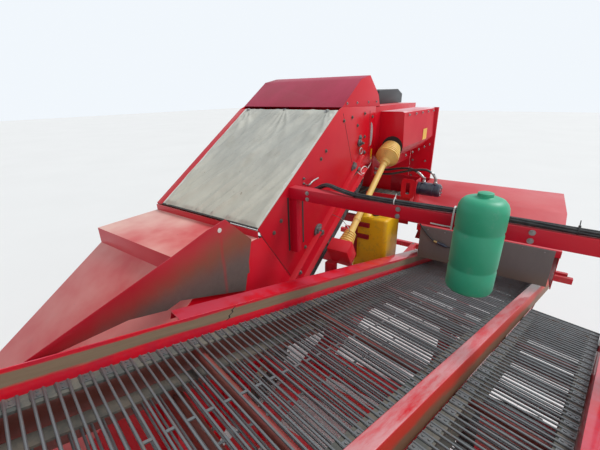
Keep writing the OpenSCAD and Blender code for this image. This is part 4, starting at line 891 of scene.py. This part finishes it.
# The drive cover's pale pink top is a painted reflection of the sky over some dust.
cover_red = red_lacquer("cover_red", (0.64, 0.004, 0.018), (0.58, 0.006, 0.03), 1.6, 1.2, (0.84, 0.70, 0.74))
skin("drive_cover", cover_red, rolled)
skin("cross_beam", red_lacquer("beam_red", (0.64, 0.003, 0.018), (0.56, 0.006, 0.035), 0.35, 0.5), 0.004)
# Dark sheets of painted shade, which stand for the dark inside behind openings and gaps.
painted_gap_shade = coated("dark_opening", ((0.012, 0.010, 0.010), (0.05, 0.03, 0.03)), (20, 5), rough=(0.8, 0, 0))
piece("shaft_opening", painted_gap_shade, "guard_plastic", [
    (lathe, [(0.0, 0.060), (0.0012, 0.060), (0.0012, 0.113), (0.0, 0.113)], 40,
     facing_frame((-2.7385, -0.307, 2.760), ahead))])
for label, x, z in (("front", -1.058, 2.600), ("rear", -1.246, 2.540)):
    seam("post_slot_" + label, (x, z), (x - 0.006, 2.170), 0.022, painted_gap_shade)
screw_on("cover_and_beam_screws", [
    ((x, -0.190, z), side) for x in (-2.86, -3.10, -3.34, -3.58, -3.82) for z in (3.085, 2.665)] + [
    ((-3.9485, y, z), ahead) for y in (-0.42, -0.25) for z in (2.20, 2.42)] + [
    ((-1.071, y, z), ahead) for y in (-0.30, 0.35, 1.02, 1.50) for z in (2.610, 2.654)],
    0.009, 0.007, 0.015)

# Blank signs: thin foil without lettering, yellow and a little crinkled, one on the drive cover and
# one on the side panel.
sign_yellow = coated("sign_yellow", ((0.86, 0.50, 0.012), (0.72, 0.38, 0.02)), (30, 5), rough=(0.35, 0.15, 0),
                     grain=(None, 0.2, 0.002))
for label, at, width, high in (("cover", (-3.537, -0.1896, 2.825), 0.16, 0.13),
                               ("panel", (-2.545, -0.4597, 2.700), 0.030, 0.11)):
    piece("blank_sign_" + label, sign_yellow, "red_paint", [
        (wedge, turned_at(at, -quarter, 0, 0), (width, high, 0.0012), 0.985)])

# Rear cowl: a black plastic hood on the casing, moulded and dull, with wide rolled edges and a fine
# grain.
cowl_plastic = coated("cowl_plastic", ((0.020, 0.020, 0.022), (0.055, 0.055, 0.058)), (3, 6, 0.65),
                      rough=(0.45, 0.2, 0), grain=((160, 3), 0.2, 0.0006))
skin("rear_cowl", cowl_plastic, 0.012, "dark_paint")

# Shaft guard: a telescopic plastic guard over the cardan shaft, with ribbed bells at both ends that
# bend over the joints. Faded yellow plastic, dusty in patches; a fine chain keeps it from turning.
guard_plastic = coated("guard_plastic", ((0.84, 0.58, 0.16), (0.74, 0.49, 0.14)), (6, 6, 0.65),
                       ((13, 7, 0.72), 0.50, 0.72, 0.45, (0.42, 0.26, 0.08)), rough=(0.42, 0.25, 0),
                       grain=((90, 4), 0.2, 0.0008), Subsurface_Weight=0.06)
shaft_top, shaft_low = Vector((-2.739, -0.307, 2.760)), Vector((-1.600, -0.262, 2.046))
end = (shaft_low - shaft_top).length
shaft_frame = facing_frame(shaft_top, shaft_low - shaft_top)
bell = [(0.008, 0.070), (0.010, 0.094)]
for i, crest in enumerate((0.097, 0.103, 0.109, 0.114, 0.118, 0.1195)):
    at = 0.018 + i * 0.026
    bell += [(at, crest), (at + 0.013, crest), (at + 0.016, crest - 0.011), (at + 0.023, crest - 0.010)]
bell += [(0.176, 0.117), (0.205, 0.084), (0.228, 0.052), (0.262, 0.048), (0.268, 0.036), (0.300, 0.0335),
         (0.306, 0.0295), (end - 0.330, 0.0295), (end - 0.327, 0.0335), (end - 0.300, 0.0335),
         (end - 0.296, 0.030), (end - 0.160, 0.033), (end - 0.150, 0.052)]
for i in range(5):
    at, crest = end - 0.148 + i * 0.024, 0.054 + 0.003 * i
    bell += [(at, crest), (at + 0.011, crest + 0.001), (at + 0.014, crest - 0.007),
             (at + 0.022, crest - 0.006)]
bell += [(end - 0.026, 0.068), (end - 0.010, 0.068), (end - 0.0065, 0.058)]
piece("shaft_guard_ribbed", guard_plastic, "guard_plastic", [(lathe, bell, 40, shaft_frame)], "shaft_guard",
      angle=26)
rod_along("guard_chain", [
    shaft_frame @ Vector((end - 0.11, 0.0, 0.050)), (-1.640, -0.235, 2.19), (-1.66, -0.30, 2.245),
    (-1.70, -0.36, 2.26), (-1.72, -0.4585, 2.27)], 0.0030, zinc, sides=6)

# Low gearbox at the shaft's foot: a cast block under a thick coat of bright red paint. Water tank:
# blow-moulded yellow plastic with rolled edges, behind a dark red bracket with two arms.
cap_red = red_lacquer("cap_red", (0.66, 0.006, 0.018), (0.56, 0.012, 0.03), 0.30, 0.2)
skin("low_gearbox", cap_red, 0.010)
tank_plastic = coated("tank_plastic", ((0.86, 0.50, 0.003), (0.74, 0.40, 0.004)), (5, 5),
                      ((9, 7, 0.72), 0.50, 0.70, 0.6, (0.28, 0.19, 0.03)), rough=(0.34, 0.2, 0),
                      grain=((12, 3), 0.2, 0.004), Subsurface_Weight=0.08)
skin("water_tank", tank_plastic, 0.026, "tank_plastic", angle=50)
bracket_red = red_lacquer("bracket_red", (0.30, 0.004, 0.012), (0.22, 0.008, 0.016), 0.2, 0.2)
piece("tank_bracket", bracket_red, "red_paint", [
    (wedge, turned_at((-2.1096, y, z), 0, quarter, 0), (high, width, 0.020), 0.94) for y, z, width, high in (
        (-0.392, 1.900, 0.045, 0.420), (-0.318, 2.075, 0.150, 0.046), (-0.318, 1.950, 0.150, 0.046))])
piece("tank_bung", cowl_plastic, "dark_paint", [
    (lathe, [(0.0, 0.036), (0.020, 0.036), (0.023, 0.032), (0.026, 0.032), (0.026, 0.0)], 24,
     facing_frame((-2.235, -0.235, 2.1495), up))])

# Cables along the cross beam: six black rubber cables laid together, ties of nylon or rubber round
# them, one nylon tie round the beam itself, and a black junction cap where the cables end.
cable_rubber = coated("cable_rubber", [(0.014, 0.015, 0.017)], None,
                      ((16, 6, 0.7), 0.42, 0.7, 0.6, (0.085, 0.085, 0.085)), rough=(0.36, 0, 0.3))
bundle = [Vector(p) for p in (
    (-1.190, -0.4597, 2.602), (-1.188, -0.390, 2.610), (-1.184, -0.290, 2.660), (-1.164, -0.200, 2.704),
    (-1.110, -0.060, 2.700), (-1.086, 0.060, 2.6933), (-1.080, 0.260, 2.6933), (-1.092, 0.500, 2.6933),
    (-1.106, 0.740, 2.6933), (-1.102, 0.980, 2.6933), (-1.094, 1.190, 2.6933), (-1.094, 1.380, 2.6933))]
for k in range(6):
    points = []
    for i, p in enumerate(bundle):
        way = (bundle[min(i + 1, 11)] - bundle[max(i - 1, 0)]).normalized()
        across = (ahead - way * way.x).normalized()
        a = 2 * math.pi * k / 6 + 0.35 * i
        points.append(p + (0.0108 if k else 0.0) * (math.cos(a) * across + math.sin(a) * way.cross(across)))
    rod_along("cable_%d" % (k + 1), points, 0.0068 - 0.0006 * (k % 3), cable_rubber, "belt_rubber", 8)
piece("cable_junction", cowl_plastic, "dark_paint", [
    (wedge, Matrix.Translation((-1.100, 1.425, 2.6752)), (0.060, 0.090, 0.062), 0.88)])
nylon_white = coated("nylon_white", ((0.86, 0.86, 0.84), (0.72, 0.71, 0.67)), (45, 4), rough=(0.4, 0, 0))
radius = 0.0176  # of the bundle, inside the ties
tie_line = [(-0.0035, radius), (-0.0035, radius + 0.0016), (0.0035, radius + 0.0016), (0.0035, radius),
            (-0.0035, radius)]
for i, (y, coat) in enumerate((
        (0.060, cable_rubber), (0.323, nylon_white), (0.740, nylon_white), (1.190, cable_rubber))):
    at = min(bundle, key=lambda p: abs(p.y - y))
    place = facing_frame((at.x, y, at.z + 0.001), side)
    piece("bundle_tie_%d" % (i + 1), coat, "guard_plastic", [
        (lathe, tie_line, 20, place),
        (wedge, place @ Matrix.Translation((0, 0, radius + 0.0004)), (0.0105, 0.010, 0.007), 0.85),
        (wedge, place @ turned_at((0, 0.004, radius + 0.005), -0.5, 0, 0), (0.0049, 0.0018, 0.026), 0.8)])
wrap = [(-1.0700, 2.5885), (-1.0700, 2.6760), (-1.0830, 2.7135), (-1.1120, 2.7160), (-1.1522, 2.6765),
        (-1.1522, 2.5885), (-1.0700, 2.5885)]
strip("beam_tie", upright(wrap, 0.655)[0], side, 0.009, 0.0018, nylon_white, "guard_plastic")
strip("beam_tie_tail", [(-1.069, 0.650, 2.606), (-1.064, 0.600, 2.607), (-1.058, 0.545, 2.611)], up, 0.007,
      0.0016, nylon_white, "guard_plastic")

# Feed motor: a navy hydraulic motor bolted to its bracket, with plated elbows, crimped hose ends and
# two rubber hoses that come through the panel.
motor_navy = coated("motor_navy", [(0.010, 0.016, 0.045)], None,
                    ((12, 6, 0.7), 0.40, 0.70, 0.55, (0.10, 0.095, 0.10)), rough=(0.28, 0, 0.165),
                    Coat_Weight=0.3)
steel_fittings = plated_steel("hose_fittings", (0.55, 0.55, 0.54), 0.1, 0.26)
barrel = [(0.0, 0.0648), (0.030, 0.0648), (0.032, 0.058), (0.040, 0.058), (0.042, 0.0648), (0.150, 0.0648),
          (0.154, 0.062), (0.164, 0.062), (0.168, 0.0648), (0.206, 0.0648), (0.216, 0.056), (0.219, 0.052),
          (0.2188, 0.0)]
port = [(0.0, 0.030), (0.016, 0.030), (0.018, 0.026), (0.018, 0.0)]
piece("feed_motor_body", motor_navy, "motor_paint", [
    (lathe, barrel, 40, facing_frame((-2.560, 0.0613, 2.400), side)),
    *((lathe, port, 20, facing_frame((-2.560, y, 2.4475), up)) for y in (0.112, 0.222))], "feed_motor")


def break_edges(work, offset):
    """Takes the sharpness off all edges of the shapes so far."""
    bmesh.ops.recalc_face_normals(work, faces=work.faces)
    bmesh.ops.bevel(work, geom=list(work.edges), offset=offset, segments=1, profile=0.5, affect="EDGES")


def holed_plate(work, place, thick, *halves):
    """A plate with soft corners and a hole alike, each given as half its sizes."""
    sides = 24
    turns = [2 * math.pi * (i + 0.5) / sides for i in range(sides)]
    rims = [[work.verts.new(place @ Vector((
        math.copysign(half_x, math.cos(a)) * min(1, abs(math.cos(a)) * 1.25),
        math.copysign(half_y, math.sin(a)) * min(1, abs(math.sin(a)) * 1.25), -depth))) for a in turns]
        for depth in (0.0, thick) for half_x, half_y in halves]
    for a, b in ((0, 1), (2, 3), (0, 2), (1, 3)):
        for i in range(sides):
            j = (i + 1) % sides
            work.faces.new((rims[a][i], rims[a][j], rims[b][j], rims[b][i]))


bracket = [(-2.640, 2.2412), (-2.480, 2.1447), (-2.480, 2.490), (-2.640, 2.490)]
piece("motor_bracket", cap_red, "red_paint", [
    (prism, *upright(bracket, 0.0502, 0.0618)), (break_edges, 0.0015)])
piece("motor_bracket_wing", cap_red, "red_paint", [
    (holed_plate, turned_at((-2.4795, -0.0185, 2.400), 0, quarter, 0), 0.006,
     (0.098, 0.067), (0.060, 0.020))])
screw_on("motor_screws", circle((-2.560, 0.2795, 2.400), 0.046, (0.5, 1.6, 2.7, 3.8, 4.9, 6.0), side),
         0.006, 0.004, 0.008, steel_fittings)
hose_lines = {
    "feed": [(-2.680, -0.4597, 2.520), (-2.676, -0.410, 2.520), (-2.650, -0.290, 2.534),
             (-2.620, -0.160, 2.566), (-2.592, -0.040, 2.578), (-2.570, 0.060, 2.545),
             (-2.560, 0.106, 2.505), (-2.560, 0.112, 2.4656)],
    "return": [(-2.680, -0.4597, 2.475), (-2.672, -0.400, 2.475), (-2.625, -0.280, 2.492),
               (-2.575, -0.150, 2.532), (-2.542, 0.0, 2.580), (-2.538, 0.120, 2.594), (-2.548, 0.190, 2.562),
               (-2.560, 0.220, 2.510), (-2.560, 0.222, 2.4656)]}
sleeve = [(0.0, 0.0125), (0.0, 0.019), (0.014, 0.019), (0.016, 0.0165), (0.020, 0.0165), (0.022, 0.0150),
          (0.050, 0.0145), (0.052, 0.0128)]
for label, line in hose_lines.items():
    in_elbow, joint, before_end = (Vector(p) for p in line[-4:-1])
    rod_along("motor_hose_%s_rubber" % label, line[:-2] + [joint.lerp(before_end, 0.5)], 0.0112, cable_rubber,
              "belt_rubber", 12, 5)
    rod_along("motor_elbow_" + label, [in_elbow.lerp(joint, 0.7), *line[-3:]], 0.0122, steel_fittings,
              sides=14, rings=5)
piece("hose_nuts", steel_fittings, "steel", [
    (lathe, sleeve, 6, facing_frame(at, way)) for line in hose_lines.values()
    for at, way in ((line[-1], up), (line[0], side))], angle=20)

# Cable in front of the flap: a thin black cable that hangs in a bow, the same on both sides, with a
# brass coupling and a navy plug near its lowest point.
half_bow = [(-2.440, 0.110, 2.1194), (-2.424, 0.113, 2.146), (-2.385, 0.135, 2.160), (-2.350, 0.165, 2.140),
            (-2.331, 0.210, 2.070), (-2.326, 0.330, 1.965)]
other_half = [(x, 0.920 - y, z) for x, y, z in half_bow[::-1]]
rod_along("flap_cable_rubber", [*half_bow, (-2.326, 0.460, 1.932), *other_half], 0.0066, cable_rubber,
          "belt_rubber")
plug_frame = facing_frame((-2.326, 0.330, 1.9645), (0, 0.13, -0.033))
brass = plated_steel("brass_coupling", (0.55, 0.38, 0.16), 0.1, 0.3)
for name, coat, slot, line, sides in (
        ("plug_coupling", brass, "steel", [
            (0.0, 0.0075), (0.0, 0.012), (0.016, 0.0125), (0.018, 0.0145), (0.030, 0.0145), (0.032, 0.0125)],
            20),
        ("plug_body", motor_navy, "motor_paint", [
            (0.030, 0.0125), (0.034, 0.0150), (0.060, 0.0152), (0.062, 0.0135), (0.066, 0.0135),
            (0.068, 0.0152), (0.104, 0.0150), (0.112, 0.0110), (0.128, 0.0090), (0.130, 0.0068)], 24)):
    piece(name, coat, slot, [(lathe, line, sides, plug_frame)])

# Hoses of the digging unit: black rubber, laid under the channel of the elevator's side in two
# layers, with plated ends screwed into the channel and steel clips round them.
hose_ends = []
for layer, drop, start, end in ((1, -0.835, -1.24, 0.34), (2, -0.862, -1.32, 0.42)):
    for k, y in enumerate((-0.4475, -0.4225)):
        line = [(start, -0.8056), (start + 0.010, -0.825), (start + 0.090, drop),
                (start + 0.55, drop - 0.004 * k), (end - 0.60, drop), (end - 0.090, drop),
                (end - 0.010, -0.825), (end, -0.8056)]
        rod_along("digging_hose_%d_%d" % (layer, k + 1), [corner @ Vector((x, y, z)) for x, z in line],
                  0.0115, cable_rubber, "belt_rubber", rings=3)
        hose_ends += [(lathe, [(0.0, 0.0120), (0.0, 0.0165), (0.012, 0.0165), (0.014, 0.0120)], 6,
                       facing_frame(corner @ Vector((x, y, -0.8054)), -out_of)) for x in (start, end)]
piece("digging_hose_ends", steel_fittings, "steel", hose_ends, angle=20)
clip_line = [(-0.4605, -0.8058), (-0.4610, -0.872), (-0.4520, -0.8760), (-0.4180, -0.8760), (-0.4095, -0.872),
             (-0.4090, -0.8058)]
for i, x in enumerate((-0.98, -0.50, -0.02)):
    strip("hose_clip_%d" % (i + 1), [corner @ Vector((x, y, z)) for y, z in clip_line], down_slope,
          0.022, 0.0022, zinc, "steel")

# Canister: green plastic, blow-moulded, with two grooves round it, a rounded shoulder and a screw
# cap, standing beside the cross beam.
canister_plastic = coated("canister_plastic", ((0.020, 0.33, 0.17), (0.035, 0.42, 0.24)), (4, 6, 0.6),
                          ((12, 7, 0.74), 0.56, 0.74, 0.4, (0.16, 0.36, 0.26)), rough=(0.38, 0.2, 0),
                          grain=((7, 3), 0.25, 0.008), Subsurface_Weight=0.08)
canister_line = [
    (0.0, 0.0), (0.0, 0.098), (0.006, 0.109), (0.020, 0.1145), (0.120, 0.1148), (0.126, 0.1115),
    (0.140, 0.1115), (0.146, 0.1148), (0.320, 0.1148), (0.326, 0.1115), (0.340, 0.1115), (0.346, 0.1148),
    (0.436, 0.1146), (0.456, 0.1120), (0.474, 0.1040), (0.490, 0.090), (0.498, 0.070), (0.501, 0.040),
    (0.504, 0.036), (0.520, 0.036), (0.5228, 0.030), (0.5228, 0.0)]
piece("canister_body", canister_plastic, "canister_plastic", [
    (lathe, canister_line, 56, facing_frame((-0.9557, 0.800, 2.330), up))], "canister", angle=40)

# Discharge housing: folded sheet over the end of the cross web. The flap under its edge is grey-brown
# rubber that brakes the fall on the picking table, screwed on along its top.
discharge_red = red_lacquer("discharge_red", (0.62, 0.003, 0.016), (0.54, 0.006, 0.03), 0.55, 1.6)
skin("discharge_housing", discharge_red, rolled)
c = Coat("flap_rubber")
tone = c.cloud(4, 7, 0.7, (1, 1, 0.35))
soil = c.between(c.axis("Z") + 0.15 * tone, 1.98, 1.84)
flap_rubber = c.done(
    Base_Color=c.mix(soil * 0.6, c.mix(tone, (0.13, 0.115, 0.11), (0.22, 0.20, 0.19)), (0.20, 0.15, 0.11)),
    Roughness=0.75 + 0.15 * tone, Normal=c.relief(tone, 0.4, 0.004))
skin("rubber_flap", flap_rubber, 0.001, "belt_rubber")
screw_on("flap_screws", row((-2.3498, 0.26, 2.066), (-2.3498, 1.19, 2.066), 7, ahead), 0.008, 0.006, 0.014)

# Picking table: folded side walls, red where they are not touched, with a band on the inner side that
# the crop has rubbed to brown; the tops of walls and divider carry pale pink patches of painted
# sheen, and the divider's outer face is rubbed orange-brown.
table_at, table_turn = (1.005, 0.899, 2.322), (0.0, math.radians(-12.06), math.radians(-11.5))
table = turned_at(table_at, *table_turn)
c = Coat("table_wall")
on_wall = c.local(table_at, table_turn)
streaks = c.cloud(2.0, 8, 0.72, (1.2, 8, 22), on_wall)
blotch = c.cloud(7, 7, 0.7)
inside = c.band(c.axis("Y", on_wall), -1.388, -1.30, 0.002) * c.band(
    c.axis("Z", on_wall) + (streaks - 0.5) * 0.035, 0.028, 0.088, 0.006)
# Up-facing tops of the walls take pale pink patches: a painted sheen.
top_sheen = c.between(c.facing("Z"), 0.85, 0.97) * c.between(blotch, 0.38, 0.60) * 0.45
# Below the wall's foot, under the web, the frame is painted dark brown, darker towards the bottom.
low_dark = c.between(c.axis("Z", on_wall) + 0.10 * blotch, 0.03, -0.05) * 0.85
table_wall = c.done(
    Base_Color=c.layers((0.66, 0.006, 0.020), (c.between(blotch, 0.35, 0.65), (0.52, 0.010, 0.030)),
                        (top_sheen, (0.72, 0.10, 0.16)),
                        (inside, c.mix(streaks, (0.15, 0.095, 0.055), (0.27, 0.19, 0.12))),
                        (low_dark, (0.16, 0.075, 0.05))),
    Roughness=0.30 + 0.35 * inside + 0.3 * low_dark, Coat_Weight=0.25 * (1 - inside),
    Normal=c.relief(streaks, 0.2, 0.002))
skin("table_frame", table_wall, 0.0015)
c = Coat("divider_rail")
on_rail = c.local(table_at, table_turn)
rubbed = c.cloud(2.4, 8, 0.7, (1.5, 8, 12), on_rail)
outer_face = c.between(c.axis("Y", on_rail), -0.368, -0.360) * c.between(c.facing("Z"), 0.8, 0.5)
# The divider's up-facing crown takes pale pink patches: a painted sheen.
crown_sheen = c.between(c.facing("Z"), 0.86, 0.96)
low_wear = c.between(c.axis("Z", on_rail) + (rubbed - 0.5) * 0.07, 0.060, 0.020)
divider_rail = c.done(
    Base_Color=c.layers((0.62, 0.008, 0.022), (c.between(rubbed, 0.38, 0.62), (0.50, 0.02, 0.035)),
                        (crown_sheen * c.between(rubbed, 0.30, 0.62) * 0.75, (0.66, 0.33, 0.34)),
                        (outer_face, c.mix(low_wear, (0.50, 0.030, 0.012), (0.19, 0.09, 0.045)))),
    Roughness=0.24 + 0.12 * rubbed + 0.3 * outer_face, Coat_Weight=0.4 * crown_sheen,
    Normal=c.relief(rubbed, 0.15, 0.002))
skin("table_divider", divider_rail, 0.004)
screw_on("table_screws", [(table @ Vector((-3.85 + i * 0.33, 0.106, z)), table.to_3x3() @ side)
                          for i in range(2, 14) for z in (0.050, -0.260)], 0.007, 0.0045, 0.012)

# Where two lengths of the table's inner wall meet, the joint has opened and its lip is bent: a dark
# crack in five short lengths.
crack = [(-1.020, 0.096), (-1.000, 0.080), (-1.008, 0.066), (-0.985, 0.050), (-0.990, 0.036), (-0.972, 0.024)]
piece("wall_joint", painted_gap_shade, "red_paint", [
    (prism, *([table @ Vector(p) for p in (
        (xa - half, y, za), (xb - half, y, zb), (xb + half, y, zb), (xa + half, y, za))]
        for half, y in ((0.004, -1.3846), (0.002, -1.3837))))
    for (xa, za), (xb, zb) in zip(crack, crack[1:])])

# Picking and trash webs, made like the digging web but with a narrower space between the rods: the
# wide one carries the crop and the narrow one beside it what is picked out.
web("picking_web", "frame", table @ Matrix.Translation((-3.95, 0, -0.1035)), 4.32, 0.095, (-1.362, -0.453),
    0.070, (-1.385, -0.432), 0.077, 0.037, clip=0.012)
web("trash_web", "frame", table @ Matrix.Translation((-3.15, 0, -0.1035)), 3.52, 0.095, (-0.338, 0.092),
    0.060, (-0.426, 0.100), 0.077, 0.037)

# Platform for the pickers: a deck of steel tread plate with a raised pattern on a welded frame, its
# paint trodden to brown. Railing and ladder: bent and welded tube, sprayed red.
c = Coat("tread_plate")
lozenges = c.wave("DIAGONAL", 14.0) * c.wave("DIAGONAL", 14.0, c.stretched((1, -1, 1)))
lozenges = c.between(lozenges, 0.55, 0.75) * c.between(c.facing("Z"), 0.9, 0.98)
trodden = c.patches((2.4, 7, 0.7), 0.40, 0.66)
tread_plate = c.done(Base_Color=c.mix(trodden, (0.50, 0.010, 0.024), (0.22, 0.13, 0.10)),
                     Roughness=0.45 + 0.3 * trodden - 0.2 * lozenges, Normal=c.relief(lozenges, 0.8, 0.004))
skin("platform", tread_plate, 0.002)
tube_red = red_lacquer("tube_red", (0.58, 0.006, 0.018), (0.46, 0.02, 0.03), 0.5, 1.4)
skin("railing", tube_red)
skin("ladder", tube_red, 0.0015, body="ladder")
screw_on("railing_screws", [((x + dx, y, 1.4203), up) for x in (-1.17, -0.04, 1.07) for dx in (-0.04, 0.04)
                            for y in (1.62, 1.66)], 0.009, 0.009, 0.014)

# Bunker: walls of sheet with folded stiffeners, riveted along their length, with a moving floor of
# rubber with slats across it and a flap that is let down for unloading.
bunker_red = red_lacquer("bunker_red", (0.58, 0.006, 0.018), (0.50, 0.012, 0.03), 0.5, 1.7)
skin("bunker", bunker_red, 0.0015)
skin("bunker_flap", bunker_red, 0.0015, body="bunker_flap")
right_y, front_x, low, high = -0.6202, 2.9502, 1.62, 2.48
right_posts, front_posts = [1.325 + i * 0.35 for i in range(5)], (-0.41, 0.16, 0.72)
piece("bunker_stiffeners", bunker_red, "red_paint", [
    *((wedge, turned_at((x, right_y, 2.050), quarter, 0, 0), (0.056, 1.06, 0.028), 0.9) for x in right_posts),
    *((wedge, turned_at((front_x, y, 2.050), 0, quarter, 0), (1.06, 0.056, 0.028), 0.9) for y in front_posts),
    (wedge, turned_at((2.050, right_y, 2.612), quarter, 0, 0), (1.79, 0.040, 0.028), 0.98),
    (wedge, turned_at((front_x, 0.180, 2.612), 0, quarter, 0), (0.040, 1.59, 0.028), 0.98)])
screw_on("bunker_rivets", [
    place for x in right_posts for place in row((x, -0.6485, low), (x, -0.6485, high), 6, -side)] + [
    place for y in front_posts for place in row((2.9785, y, low), (2.9785, y, high), 6, ahead)],
    0.006, 0.003, 0.010)
floor_at = turned_at((0, -0.330, 1.450), math.radians(10), 0, 0)
piece("bunker_floor_slats", belt_rubber, "belt_rubber", [
    (wedge, floor_at @ Matrix.Translation((2.05, 0.04 + i * 0.10, 0.0447)), (1.62, 0.024, 0.016), 0.92)
    for i in range(12)])

# White wire loop: a plastic-coated wire, laid in a loose ring beside the elevator's head bearing, its
# ends in the side panel.
loop = [(-2.195, -0.4585, 2.600), (-2.215, -0.440, 2.560), (-2.300, -0.430, 2.528), (-2.385, -0.432, 2.560),
        (-2.372, -0.436, 2.600), (-2.300, -0.436, 2.604), (-2.245, -0.432, 2.575), (-2.300, -0.424, 2.545),
        (-2.470, -0.436, 2.596), (-2.555, -0.4585, 2.612)]
rod_along("wire_loop", loop, 0.0045, nylon_white, sides=8)
